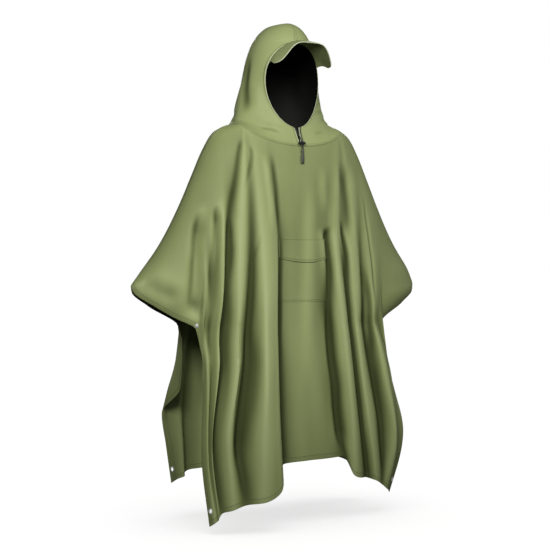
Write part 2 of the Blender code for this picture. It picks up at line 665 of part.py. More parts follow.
def eyelet(name, site, finish):
    """Rolled eyelet: a barrel through the cloth with a flange on each face."""
    top = site.top + SEAM_GAP
    bottom = site.bottom - SEAM_GAP
    profile = ((EYELET_HOLE_RADIUS, bottom - EYELET_FLANGE),
               (EYELET_FLANGE_RADIUS, bottom - EYELET_FLANGE), (EYELET_FLANGE_RADIUS, bottom),
               (EYELET_BARREL_RADIUS, bottom), (EYELET_BARREL_RADIUS, top),
               (EYELET_FLANGE_RADIUS, top), (EYELET_FLANGE_RADIUS, top + EYELET_FLANGE),
               (EYELET_HOLE_RADIUS, top + EYELET_FLANGE))
    return turned(name, profile, EYELET_SIDES, finish, frame_at(site.point, site.normal))


def snap(name, panel, site, finish):
    """Domed snap cap that follows the outer face of the cloth under it."""
    cloth = BVHTree.FromPolygons([point.co for point in panel.data.vertices],
                                 [face.vertices for face in panel.data.polygons])
    profile = ((0.0, 0.0), (0.5 * SNAP_RADIUS, 0.0), (SNAP_RADIUS, 0.0),
               (SNAP_RADIUS, 0.5 * SNAP_THICKNESS), (0.72 * SNAP_RADIUS, 0.9 * SNAP_THICKNESS),
               (0.0, SNAP_THICKNESS))
    frame = frame_at(site.point, site.normal)
    made = turned(name, profile, SNAP_SIDES, finish, frame)
    normal = Vector(site.normal)
    for point in made.data.vertices:
        above = frame @ Vector((point.co.x, point.co.y, SNAP_REACH))
        distance = cloth.ray_cast(above, -normal)[3]
        point.co.z += SNAP_REACH - distance + SEAM_GAP + FITTING_MARGIN


def build_panel(name, right, left, neck_steps, finishes):
    """Panel with its two snaps and its two corner eyelets."""
    outer = panel_grid(right, left, neck_steps)
    inner, normals = panel_inner(outer, right.facing)
    panel = wall(name + "_panel", outer, inner, finishes["olive"])
    for hand, hand_name, corner in ((RIGHT, "right", outer[-1, 0]), (LEFT, "left", outer[-1, -1])):
        site = fitting_site(outer, inner, hand, SNAP_HEIGHT, SNAP_INSET, SNAP_RADIUS)
        snap(f"{name}_snap_{hand_name}", panel, site, finishes["metal"])
        site = fitting_site(outer, inner, hand, corner[2] + EYELET_RISE, EYELET_INSET,
                            EYELET_FLANGE_RADIUS)
        punch(panel, site, hand_name)
        eyelet(f"{name}_eyelet_{hand_name}", site, finishes["metal"])
    return outer, normals


# ---------------------------------------------------------------- pocket
def build_pocket(outer, normals, finish):
    """Patch pocket on the chest and the flap that hangs over its mouth."""
    middle = outer.shape[1] // 2
    columns = slice(middle - POCKET_COLUMNS, middle + POCKET_COLUMNS + 1)
    rows = slice(POCKET_TOP_ROW, POCKET_BOTTOM_ROW + 1)
    cloth, out = outer[rows, columns], normals[rows, columns]
    wall("pocket", cloth + out * (SEAM_GAP + POCKET_CLOTH), cloth + out * SEAM_GAP, finish)

    lift = SEAM_GAP + POCKET_CLOTH + FLAP_LIFT
    share = np.linspace(-1.0, 1.0, 2 * POCKET_COLUMNS + 1)
    fall = FLAP_SIDE_FALL + (FLAP_MIDDLE_FALL - FLAP_SIDE_FALL) * (1 - share ** 2)
    steps = np.linspace(0.0, 1.0, 4)[:, None]
    place = steps * fall * (POCKET_BOTTOM_ROW - POCKET_TOP_ROW)
    low = np.clip(np.floor(place).astype(int), 0, cloth.shape[0] - 2)
    part = (place - low)[..., None]
    across = np.arange(cloth.shape[1])[None, :]
    flap = cloth[low, across] * (1 - part) + cloth[low + 1, across] * part
    flap_out = out[low, across] * (1 - part) + out[low + 1, across] * part
    wall("pocket_flap", flap + flap_out * (lift + POCKET_CLOTH), flap + flap_out * lift, finish)


# ---------------------------------------------------------------- hood
def face_edge(turn):
    """Edge of the face opening from its lowest point (0) to its highest (pi)."""
    x = FACE_HALF_WIDTH * np.sin(turn) * (1 - FACE_EGG * np.cos(turn))
    height = FACE_CENTRE_HEIGHT - FACE_HALF_HEIGHT * np.cos(turn)
    depth = FACE_SIDE_DEPTH + (FACE_END_DEPTH - FACE_SIDE_DEPTH) * np.cos(turn) ** 2
    return np.stack((x, depth, height), axis=-1)


def hood_front_edge():
    """Front of each hood section: the chin slit, the face edge, then the seam to the crown."""
    _, chin_depth, chin_height = FRONT_RIGHT.neck_point(0.0)
    chin = np.array((SLIT_BOTTOM_HALF_WIDTH, float(chin_depth), float(chin_height)))
    slit_top = np.array((SLIT_TOP_HALF_WIDTH, FACE_END_DEPTH, FACE_CENTRE_HEIGHT - FACE_HALF_HEIGHT))
    slit = np.linspace(0.0, 1.0, SLIT_ROWS + 1)[:, None]
    points = list(chin + (slit_top - chin) * slit)
    turns = np.linspace(0.0, math.pi, FACE_ROWS + 1)[1:]
    rim = face_edge(turns)
    rim[:, 0] = np.maximum(rim[:, 0], SEAM_GAP / 2)
    points += list(rim)
    top = rim[-1]
    seam_rows = len(HOOD_SECTIONS) - len(points)
    for step in range(1, seam_rows + 1):
        turn = 0.5 * math.pi * step / seam_rows
        depth = FRONT_CROWN_DEPTH + (top[1] - FRONT_CROWN_DEPTH) * math.cos(turn)
        height = top[2] + (CROWN_HEIGHT - top[2]) * math.sin(turn)
        points.append(np.array((SEAM_GAP / 2, depth, height)))
    return np.array(points)


def hood_half(hand):
    """Outer points of a hood half: rows from the neck up, columns from the face to the back."""
    edges = hood_front_edge()
    quarter = np.linspace(0.0, math.pi / 2, NECK_STEPS + 1)
    rows = []
    for edge, section in zip(edges, HOOD_SECTIONS):
        width = max(section.half_width, edge[0] * 1.0001, SEAM_GAP / 2)
        start = math.acos(min(1.0, edge[0] / width))
        turn = start * (1 - np.linspace(0.0, 1.0, NECK_STEPS + 1))
        reach = (edge[1] - section.side_depth) / max(math.sin(start), 1e-6)
        rise = (np.sin(turn) / max(math.sin(start), 1e-6)) ** 2
        front = np.stack((width * np.cos(turn), section.side_depth + reach * np.sin(turn),
                          section.side_height + (edge[2] - section.side_height) * rise), axis=-1)
        back = np.stack((width * np.cos(quarter),
                         section.side_depth + (section.back_depth - section.side_depth)
                         * np.sin(quarter),
                         section.side_height + (section.back_height - section.side_height)
                         * np.sin(quarter) ** 2), axis=-1)
        rows.append(np.concatenate((front, back[1:])))
    grid = np.array(rows)
    front_neck = np.array([FRONT_RIGHT.neck_point(angle) for angle in quarter])
    back_neck = np.array([BACK_RIGHT.neck_point(angle) for angle in quarter[::-1]])
    back_neck[:, 1] *= -1
    grid[0] = np.concatenate((front_neck, back_neck[1:]))
    grid[0, 0, 0] = SLIT_BOTTOM_HALF_WIDTH
    ridge = np.linspace(edges[-1][1], HOOD_SECTIONS[-1].back_depth, grid.shape[1])
    arch = np.sin(np.linspace(0.0, math.pi, grid.shape[1])) * CROWN_ARCH
    grid[-1, :, 1] = ridge
    grid[-1, :, 2] = np.linspace(edges[-1][2], HOOD_SECTIONS[-1].back_height,
                                 grid.shape[1]) + arch
    grid[..., 0] = np.maximum(grid[..., 0], SEAM_GAP / 2)
    return np.stack((hand * grid[..., 0], -grid[..., 1], grid[..., 2]), axis=-1)


def hood_normals(grid, hand):
    """Outward normals of a hood half, lying in the centre plane along its centre seam."""
    normals = grid_normals(grid)
    if np.nansum(normals[..., 0]) * hand < 0:
        normals = -normals
    last_row, last_col = grid.shape[0] - 1, grid.shape[1] - 1
    seam = [(row, 0) for row in range(SLIT_ROWS + FACE_ROWS, last_row)]
    seam += [(last_row, col) for col in range(last_col)]
    seam += [(row, last_col) for row in range(last_row, -1, -1)]
    line = np.array([grid[place] for place in seam])
    along = np.gradient(line[:, 1:], axis=0)
    square = np.stack((np.zeros(len(line)), along[:, 1], -along[:, 0]), axis=-1)
    square /= np.linalg.norm(square, axis=1, keepdims=True)
    middle = np.array((0.0, 0.0, FACE_CENTRE_HEIGHT))
    away = np.sum(square * (line - middle), axis=1, keepdims=True)
    for place, normal in zip(seam, square * np.sign(away)):
        normals[place] = normal
    return normals


def keep_to_side(grid, hand):
    """Grid with every point on its own side of the centre seam's gap."""
    grid = grid.copy()
    grid[..., 0] = hand * np.maximum(hand * grid[..., 0], SEAM_GAP / 2)
    return grid


def build_hood(finishes):
    """Two hood halves, each with its black lining."""
    for hand, hand_name in ((RIGHT, "right"), (LEFT, "left")):
        grid = hood_half(hand)
        normals = hood_normals(grid, hand)
        into, across = neck_directions(grid[0])
        normals[0] = -into
        normals[0, -1, 0] = 0.0
        outer = grid.copy()
        outer[0] += across * SEAM_GAP
        outer = keep_to_side(outer, hand)
        inner = keep_to_side(outer - normals * CLOTH, hand)
        wall(f"hood_{hand_name}", outer, inner, finishes["olive"])

        lining_outer = outer - normals * (CLOTH + SEAM_GAP)
        lining_inner = lining_outer - normals * LINING_CLOTH
        lined_rows = SLIT_ROWS + FACE_ROWS + 1
        for layer in (lining_outer, lining_inner):
            away = layer[:lined_rows, 1] - layer[:lined_rows, 0]
            away /= np.linalg.norm(away, axis=-1, keepdims=True)
            layer[:lined_rows, 0] += away * LINING_SETBACK
            layer[0] += (layer[1] - layer[0]) * LINING_NECK_SHARE
        wall(f"hood_lining_{hand_name}", keep_to_side(lining_outer, hand),
             keep_to_side(lining_inner, hand), finishes["lining"])


def build_visor(finish):
    """Stiff curved peak along the top of the face edge."""
    turns = np.linspace(VISOR_START, 2 * math.pi - VISOR_START, 2 * VISOR_STEPS + 1)
    root = face_edge(turns)
    behind = face_edge(turns)
    behind[:, 0] *= HOOD_FLARE
    behind[:, 1] -= HOOD_FLARE_DEPTH
    forward = root - behind
    forward /= np.linalg.norm(forward, axis=1, keepdims=True)
    root = root + forward * 2 * SEAM_GAP
    sweep = np.linspace(math.pi / 2, -math.pi / 2, 2 * VISOR_STEPS + 1)
    tip_x = VISOR_HALF_WIDTH * np.sign(np.sin(sweep)) * np.abs(np.sin(sweep)) ** VISOR_SIDE_CURVE
    reach = np.sqrt(np.clip(1 - np.abs(tip_x / VISOR_HALF_WIDTH) ** VISOR_BLUNTNESS, 0.0, 1.0))
    tip_depth = VISOR_CORNER_DEPTH + (VISOR_FRONT_DEPTH - VISOR_CORNER_DEPTH) * reach
    fallen = 0.5 - 0.5 * np.cos(np.pi * np.abs(tip_x / VISOR_HALF_WIDTH) ** VISOR_DROP_PLACE)
    tip_height = VISOR_TOP_HEIGHT - VISOR_DROP * fallen
    tip = np.stack((tip_x, tip_depth, tip_height), axis=-1)
    rings = []
    for step in range(VISOR_RINGS + 1):
        share = step / VISOR_RINGS
        ring = root + (tip - root) * share
        ring[:, 2] += VISOR_BULGE * math.sin(math.pi * share)
        rings.append(ring)
    grid = np.array(rings)
    grid = np.stack((grid[..., 0], -grid[..., 1], grid[..., 2]), axis=-1)
    normals = grid_normals(grid)
    if np.sum(normals[..., 2]) < 0:
        normals = -normals
    lift = CLOTH / 2
    top = grid + normals * (VISOR_THICKNESS / 2 - lift)
    under = grid - normals * (VISOR_THICKNESS / 2 + lift)
    wall("hood_visor", top, under, finish)


# ---------------------------------------------------------------- drawcord
def cord_route(hand):
    """Cord run: out of the cloth beside the slit, down through the lock, to the cord end."""
    stops = np.stack([column(CORD_STOPS, name) for name in ("offset", "depth", "height")], axis=-1)
    lengths = np.concatenate(([0.0], np.cumsum(np.linalg.norm(np.diff(stops, axis=0), axis=1))))
    at = np.linspace(0.0, lengths[-1], CORD_POINTS)
    offset, depth, height = (smooth_through(lengths, stops[:, axis], at) for axis in range(3))
    return np.stack((hand * offset, -depth, height), axis=-1)


def build_cord(name, hand, finish):
    """Free run of the drawcord as a capped tube."""
    curve = bpy.data.curves.new(name, "CURVE")
    curve.dimensions = "3D"
    curve.bevel_depth = CORD_RADIUS
    curve.bevel_resolution = 2
    curve.use_fill_caps = True
    spline = curve.splines.new("POLY")
    route = cord_route(hand)
    spline.points.add(len(route) - 1)
    for point, place in zip(spline.points, route):
        point.co = (*place, 1.0)
    curve.materials.append(finish)
    made = bpy.data.objects.new(name, curve)
    bpy.context.scene.collection.objects.link(made)


def build_cord_lock(finish):
    """Barrel cord lock lying across the cords, with one slot for both of them."""
    half = LOCK_LENGTH / 2
    profile = ((0.0, -half), (LOCK_CAP_RADIUS, -half), (LOCK_CAP_RADIUS, -half + LOCK_CAP_LENGTH),
               (LOCK_RADIUS, -half + LOCK_CAP_LENGTH), (LOCK_RADIUS, half - LOCK_CAP_LENGTH),
               (LOCK_CAP_RADIUS, half - LOCK_CAP_LENGTH), (LOCK_CAP_RADIUS, half), (0.0, half))
    site = (0.0, -LOCK_DEPTH, LOCK_HEIGHT)
    lock = turned("cord_lock", profile, LOCK_SIDES, finish, frame_at(site, (1.0, 0.0, 0.0)))
    shape = bmesh.new()
    bmesh.ops.create_cube(shape, size=1.0)
    bmesh.ops.scale(shape, verts=shape.verts,
                    vec=(2 * LOCK_SLOT_HALF, 2 * LOCK_SLOT_DEPTH, LOCK_SLOT_HEIGHT))
    mesh = bpy.data.meshes.new("cord_lock_slot")
    shape.to_mesh(mesh)
    shape.free()
    cutter = bpy.data.objects.new("cord_lock_slot", mesh)
    bpy.context.scene.collection.objects.link(cutter)
    cutter.location = site
    cutter.hide_render = True
    cutter.display_type = "WIRE"
    cut = lock.modifiers.new("slot", "BOOLEAN")
    cut.operation = "DIFFERENCE"
    cut.object = cutter
    cut.solver = "EXACT"


def build_cord_end(finish):
    """Moulded cord end: a knot-like collar over a flat oval grip."""
    shape = bmesh.new()
    rings = []
    turns = [math.tau * k / CORD_END_SIDES for k in range(CORD_END_SIDES)]
    for section in CORD_END_SECTIONS:
        rings.append([shape.verts.new((CORD_END_HALF_WIDTH * section.wide * math.cos(turn),
                                       -CORD_END_DEPTH
                                       + CORD_END_HALF_DEPTH * section.deep * math.sin(turn),
                                       CORD_END_TOP - section.fall)) for turn in turns])
    for above, below in zip(rings, rings[1:]):
        for k in range(CORD_END_SIDES):
            after = (k + 1) % CORD_END_SIDES
            shape.faces.new((above[k], below[k], below[after], above[after]))
    shape.faces.new(rings[0])
    shape.faces.new(rings[-1][::-1])
    bmesh.ops.triangulate(shape, faces=shape.faces)
    bmesh.ops.recalc_face_normals(shape, faces=shape.faces)
    mesh = bpy.data.meshes.new("cord_end")
    shape.to_mesh(mesh)
    shape.free()
    add_object("cord_end", mesh, finish)


def main():
    """Build every piece of the poncho."""
    for old in list(bpy.data.objects):
        bpy.data.objects.remove(old, do_unlink=True)
    finishes = {
        "olive": material("olive_cloth", OLIVE, 0.5),
        "lining": material("lining_black", LINING_BLACK, 0.8),
        "metal": material("snap_metal", SNAP_METAL, 0.35, 0.9),
        "cord": material("cord_black", TRIM_BLACK, 0.85),
        "trim": material("trim_black", TRIM_BLACK, 0.5),
        "cord_end": material("cord_end_grey", END_OLIVE_GREY, 0.6),
    }
    front, front_normals = build_panel("front", FRONT_RIGHT, FRONT_LEFT, 2 * NECK_STEPS,
                                       finishes)
    build_panel("back", BACK_RIGHT, BACK_LEFT, NECK_STEPS, finishes)
    build_pocket(front, front_normals, finishes["olive"])
    build_hood(finishes)
    build_visor(finishes["olive"])
    build_cord("drawcord_right", RIGHT, finishes["cord"])
    build_cord("drawcord_left", LEFT, finishes["cord"])
    build_cord_lock(finishes["trim"])
    build_cord_end(finishes["cord_end"])


if __name__ == "__main__":
    main()
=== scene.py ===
"""Rain poncho with a lined, peaked hood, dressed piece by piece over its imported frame.

Metres, +Z up.  The front faces -Y and the wearer's left is +X.  The origin is the middle of the
neck seam at shoulder height.  A cloth piece is a thin shell between two grids of points, and a
grid is a function of two parameters: where across the piece, and how far down it.
"""
from __future__ import annotations

import logging
import math
from collections.abc import Sequence
from dataclasses import dataclass, field
from enum import Enum
from typing import NamedTuple

import bmesh
import bpy
import numpy as np
from mathutils import Matrix, Vector


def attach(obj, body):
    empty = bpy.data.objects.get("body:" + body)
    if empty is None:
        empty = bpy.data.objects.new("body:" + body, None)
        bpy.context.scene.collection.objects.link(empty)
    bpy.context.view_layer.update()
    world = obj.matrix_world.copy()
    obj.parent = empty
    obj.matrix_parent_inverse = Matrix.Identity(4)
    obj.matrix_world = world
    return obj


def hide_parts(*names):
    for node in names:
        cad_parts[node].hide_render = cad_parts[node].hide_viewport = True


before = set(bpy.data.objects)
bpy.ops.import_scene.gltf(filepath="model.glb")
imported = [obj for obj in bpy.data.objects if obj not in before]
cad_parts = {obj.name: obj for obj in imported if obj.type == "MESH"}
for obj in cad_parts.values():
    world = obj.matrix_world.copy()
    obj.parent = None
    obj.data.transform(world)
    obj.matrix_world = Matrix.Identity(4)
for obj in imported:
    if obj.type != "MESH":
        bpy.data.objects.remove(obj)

LOG = logging.getLogger("poncho")
BODY = "root"
SEAM_GAP = 0.0003
WING_TIP_HEIGHT = -0.525
SNAP_HEIGHT = -0.66
# hollow of pieces without folds: a little painted light on the outer face, painted shade on the
# inner one
PLAIN_HOLLOW = -0.0025
NECK_HALF_WIDTH = 0.190
SHARP_ANGLE = math.radians(50)
NOISE_ROUGHNESS = 0.55

Array = np.ndarray
Material = bpy.types.Material
Piece = bpy.types.Object
Triple = tuple[float, float, float]
Span = tuple[float, float]


class Facing(Enum):
    """The way a panel faces, as the sign of its outward Y."""

    FRONT = -1.0
    BACK = 1.0


class Hand(Enum):
    """The wearer's side, as the sign of X."""

    RIGHT = -1.0
    LEFT = 1.0

    @property
    def word(self) -> str:
        """The side's name as the frame's nodes spell it."""
        return self.name.lower()


# ---------------------------------------------------------------- numbers
def smooth_through(xs: Array, ys: Array, at: Array) -> Array:
    """Monotone cubic: Hermite pieces whose tangents are the weighted harmonic mean of the slopes.

    Args:
        xs: Places of the known values, rising or falling.
        ys: Known values.
        at: Places wanted.

    Returns:
        The curve's values, which never swing past the known ones.
    """
    xs, ys, at = np.asarray(xs, float), np.asarray(ys, float), np.asarray(at, float)
    if xs[0] > xs[-1]:
        xs, ys = xs[::-1], ys[::-1]
    steps = np.diff(xs)
    slopes = np.diff(ys) / steps
    tangents = np.zeros_like(ys)
    tangents[0], tangents[-1] = slopes[0], slopes[-1]
    same_way = slopes[:-1] * slopes[1:] > 0
    weight_a = 2 * steps[1:] + steps[:-1]
    weight_b = steps[1:] + 2 * steps[:-1]
    with np.errstate(divide="ignore", invalid="ignore"):
        mean = (weight_a + weight_b) / (weight_a / slopes[:-1] + weight_b / slopes[1:])
    tangents[1:-1] = np.where(same_way, mean, 0.0)
    at = np.clip(at, xs[0], xs[-1])
    span = np.clip(np.searchsorted(xs, at) - 1, 0, len(steps) - 1)
    u = (at - xs[span]) / steps[span]
    return (ys[span] * (1 + 2 * u) * (1 - u) ** 2 + tangents[span] * steps[span] * u * (1 - u) ** 2
            + ys[span + 1] * u * u * (3 - 2 * u)
            + tangents[span + 1] * steps[span] * u * u * (u - 1))


def column(table: Sequence[NamedTuple], name: str) -> Array:
    """One named column of a table as an array."""
    return np.array([getattr(row, name) for row in table], float)


def read(table: Sequence[NamedTuple], name: str, at: Array, by: str = "height") -> Array:
    """A table's named column, read at places along another of its columns."""
    return smooth_through(column(table, by), column(table, name), at)


def joined(*parts: Array) -> Array:
    """Grids of numbers as one grid of points."""
    return np.stack(parts, axis=-1)


def ease(value: Array | float, start: float, end: float) -> Array:
    """Smooth step: 0 before start, 1 after end, 3u^2 - 2u^3 between them."""
    u = np.clip((np.asarray(value, float) - start) / (end - start), 0.0, 1.0)
    return u * u * (3 - 2 * u)


def unit(vectors: Array) -> Array:
    """Vectors at unit length."""
    return vectors / np.maximum(np.linalg.norm(vectors, axis=-1, keepdims=True), 1e-12)


def grid_normals(grid: Array, axis: int, sign: float) -> Array:
    """Unit normals of a grid, the cross product of its slopes, facing this way along an axis."""
    normals = unit(np.cross(np.gradient(grid, axis=1), np.gradient(grid, axis=0)))
    return -normals if np.nansum(normals[..., axis]) * sign < 0 else normals


def beyond_seam(grid: Array, axis: int, sign: float) -> Array:
    """Copy of a grid with every point on its own side of a seam plane, half the gap from it.

    Args:
        grid: Points of the piece, rows by columns by 3.
        axis: The axis square to the plane.
        sign: The grid's own side.

    Returns:
        The copy.
    """
    grid = grid.copy()
    grid[..., axis] = sign * np.maximum(sign * grid[..., axis], SEAM_GAP / 2)
    return grid


def on_grid(grid: Array, row: Array, col: Array) -> Array:
    """Bilinear values of a grid at fractional rows and columns.

    Args:
        grid: Values, rows by columns by any number of parts.
        row: Rows wanted.
        col: Columns wanted.

    Returns:
        The values there.
    """
    row = np.clip(row, 0.0, grid.shape[0] - 1.001)
    col = np.clip(col, 0.0, grid.shape[1] - 1.001)
    r, c = np.floor(row).astype(int), np.floor(col).astype(int)
    u, v = (row - r)[..., None], (col - c)[..., None]
    return ((grid[r, c] * (1 - v) + grid[r, c + 1] * v) * (1 - u)
            + (grid[r + 1, c] * (1 - v) + grid[r + 1, c + 1] * v) * u)


def run_lengths(grid: Array, axis: int) -> Array:
    """Distance run along each row (axis 1) or column (axis 0) of a grid.

    Args:
        grid: Points, rows by columns by 3.
        axis: The way along.

    Returns:
        The distances.
    """
    steps = np.linalg.norm(np.diff(grid, axis=axis), axis=-1)
    start = np.zeros_like(np.take(steps, [0], axis=axis))
    return np.concatenate((start, np.cumsum(steps, axis=axis)), axis=axis)


def line_lengths(line: Array) -> Array:
    """Distance run along one line of points."""
    return run_lengths(line[None], 1)[0]


def softened(grid: Array, passes: int, weight: Array) -> Array:
    """Grid eased across its columns: each pass takes a quarter of both neighbours, by weight.

    Args:
        grid: Points or normals, rows by columns by 3.
        passes: Number of passes.
        weight: Share of each pass that each point takes.

    Returns:
        The eased grid.
    """
    grid = grid.copy()
    for _ in range(passes):
        middle = 0.25 * grid[:, :-2] + 0.5 * grid[:, 1:-1] + 0.25 * grid[:, 2:]
        grid[:, 1:-1] += (middle - grid[:, 1:-1]) * weight[:, 1:-1, None]
    return grid


def hollows(grid: Array, normals: Array, reach: float = 0.026, turned_back: int = 40) -> Array:
    """How far each point lies under the broad form of its row.

    The broad form is the row's Gaussian mean along its own length, each end carried on by the
    same row turned about its end point, and weighted by the length that each point stands for.

    Args:
        grid: Points of the piece.
        normals: Its outward normals.
        reach: Spread of the mean, in metres of cloth.
        turned_back: Points carried on past each end.

    Returns:
        Depth under the broad form, one number for each grid point.
    """
    before = 2 * grid[:, :1] - grid[:, turned_back:0:-1]
    after = 2 * grid[:, -1:] - grid[:, -2:-turned_back - 2:-1]
    row = np.concatenate((before, grid, after), axis=1)
    length = run_lengths(row, 1)
    stands_for = np.gradient(length, axis=1)
    own = length[:, turned_back:-turned_back]
    weight = np.exp(-0.5 * ((own[:, :, None] - length[:, None, :]) / reach) ** 2)
    weight *= stands_for[:, None, :]
    broad = np.matmul(weight, row) / weight.sum(axis=2, keepdims=True)
    return np.sum((broad - grid) * normals, axis=-1)


# ---------------------------------------------------------------- creases laid one by one
class Crease(NamedTuple):
    """A soft trough (depth below 0) or ridge, from start over middle to end, in two plane axes.

    It fades in over the first share of its path and out over the last, and its width grows by
    this many times from the one end to the other.
    """

    start: tuple[float, float]
    middle: tuple[float, float]
    end: tuple[float, float]
    width: float
    depth: float
    fade_in: float = 0.45
    fade_out: float = 0.45
    widens: float = 1.0


def crease_path(crease: Crease, steps: int = 22) -> Array:
    """Quadratic curve that passes through the crease's three points.

    Args:
        crease: The crease.
        steps: Number of points.

    Returns:
        Points in the two axes.
    """
    start, middle, end = (np.array(part) for part in (crease.start, crease.middle, crease.end))
    pull = 2 * middle - 0.5 * (start + end)
    t = np.linspace(0.0, 1.0, steps)[:, None]
    return start * (1 - t) ** 2 + 2 * pull * t * (1 - t) + end * t * t


def crease_lift(grid: Array, creases: Sequence[Crease], axes: tuple[int, int],
                passes: int = 3, reach: float = 3.0, shoulder: float = 0.4) -> Array:
    """How far each point of a grid is raised by the creases.

    Each crease's path is dropped on the grid's nearest points and smoothed, and a point at
    distance d from it is raised by depth (1 - s (d/w)^2) exp(-(d/w)^2), times both fades.
    The width w runs from the crease's own to that times its widening.

    Args:
        grid: Points of the piece.
        creases: Table of creases.
        axes: The two world axes that the creases' points are given in.
        passes: How often a path is smoothed.
        reach: Widths beyond which a crease is left out.
        shoulder: Share s, which lets the cloth rise a little beside a trough.

    Returns:
        Lift along the normal, one number for each grid point.
    """
    flat = grid.reshape(-1, 3)
    lift = np.zeros(len(flat))
    for crease in creases:
        path = crease_path(crease)
        away = np.linalg.norm(flat[None][..., list(axes)] - path[:, None], axis=-1)
        line = flat[np.argmin(away, axis=1)]
        for _ in range(passes):
            line[1:-1] = 0.25 * line[:-2] + 0.5 * line[1:-1] + 0.25 * line[2:]
        margin = reach * crease.width * max(1.0, crease.widens)
        low, high = line.min(axis=0) - margin, line.max(axis=0) + margin
        near = np.where(np.all((flat > low) & (flat < high), axis=1))[0]
        if len(near) == 0:
            continue
        points = flat[near]
        start, along = line[:-1], np.diff(line, axis=0)
        span = np.maximum(np.sum(along ** 2, axis=1), 1e-12)
        share = np.clip(np.sum((points[:, None] - start) * along, axis=-1) / span, 0.0, 1.0)
        gap = np.linalg.norm(points[:, None] - start - share[..., None] * along, axis=-1)
        best = np.argmin(gap, axis=1)
        rows = np.arange(len(near))
        t = (best + share[rows, best]) / len(start)
        across = (gap[rows, best] / (crease.width * crease.widens ** t)) ** 2
        fade = ease(t, 0.0, crease.fade_in) * (1 - ease(t, 1 - crease.fade_out, 1.0))
        lift[near] += crease.depth * (1 - shoulder * across) * np.exp(-across) * fade
    return lift.reshape(grid.shape[:2])


# ---------------------------------------------------------------- node maths
class Grain(NamedTuple):
    """A noise pattern: its scale, its detail, and a factor for each coordinate."""

    scale: float
    detail: float
    factors: Triple | None = None


class Wire:
    """A number that flows through a material's nodes, with the usual operators."""

    def __init__(self, board: Board, socket: bpy.types.NodeSocket) -> None:
        """Keeps the socket that the number comes out of."""
        self.board = board
        self.socket = socket

    def __add__(self, other: Wire | float) -> Wire:
        """Sum."""
        return self.board.number("ADD", self, other)

    __radd__ = __add__

    def __mul__(self, other: Wire | float) -> Wire:
        """Product."""
        return self.board.number("MULTIPLY", self, other)

    def __sub__(self, other: Wire | float) -> Wire:
        """Difference."""
        return self.board.number("SUBTRACT", self, other)

    def __rsub__(self, other: Wire | float) -> Wire:
        """Difference the other way round."""
        return self.board.number("SUBTRACT", other, self)

    def __truediv__(self, other: Wire | float) -> Wire:
        """Quotient."""
        return self.board.number("DIVIDE", self, other)

    def wave(self, pitch: float) -> Wire:
        """Sine wave of this length, between 0 and 1."""
        return self.board.number("SINE", self * (math.tau / pitch), 0.0) * 0.5 + 0.5

    def within(self, centre: float, half: float, soft: float) -> Wire:
        """1 where the number lies within half of the centre, fading over soft."""
        away = self.board.number("ABSOLUTE", self - centre, 0.0)
        return 1 - away.rise(half, half + soft)

    def rise(self, start: float, end: float) -> Wire:
        """Smooth step from 0 at start to 1 at end."""
        return self.board.add("ShaderNodeMapRange", {"interpolation_type": "SMOOTHSTEP"},
                              {"Value": self, "From Min": start, "From Max": end})["Result"]


class Outputs:
    """A new node's outputs by name, as wires."""

    def __init__(self, board: Board, node: bpy.types.Node) -> None:
        """Keeps the node."""
        self.board = board
        self.node = node

    def __getitem__(self, name: str | int) -> Wire:
        """The named output."""
        return Wire(self.board, self.node.outputs[name])


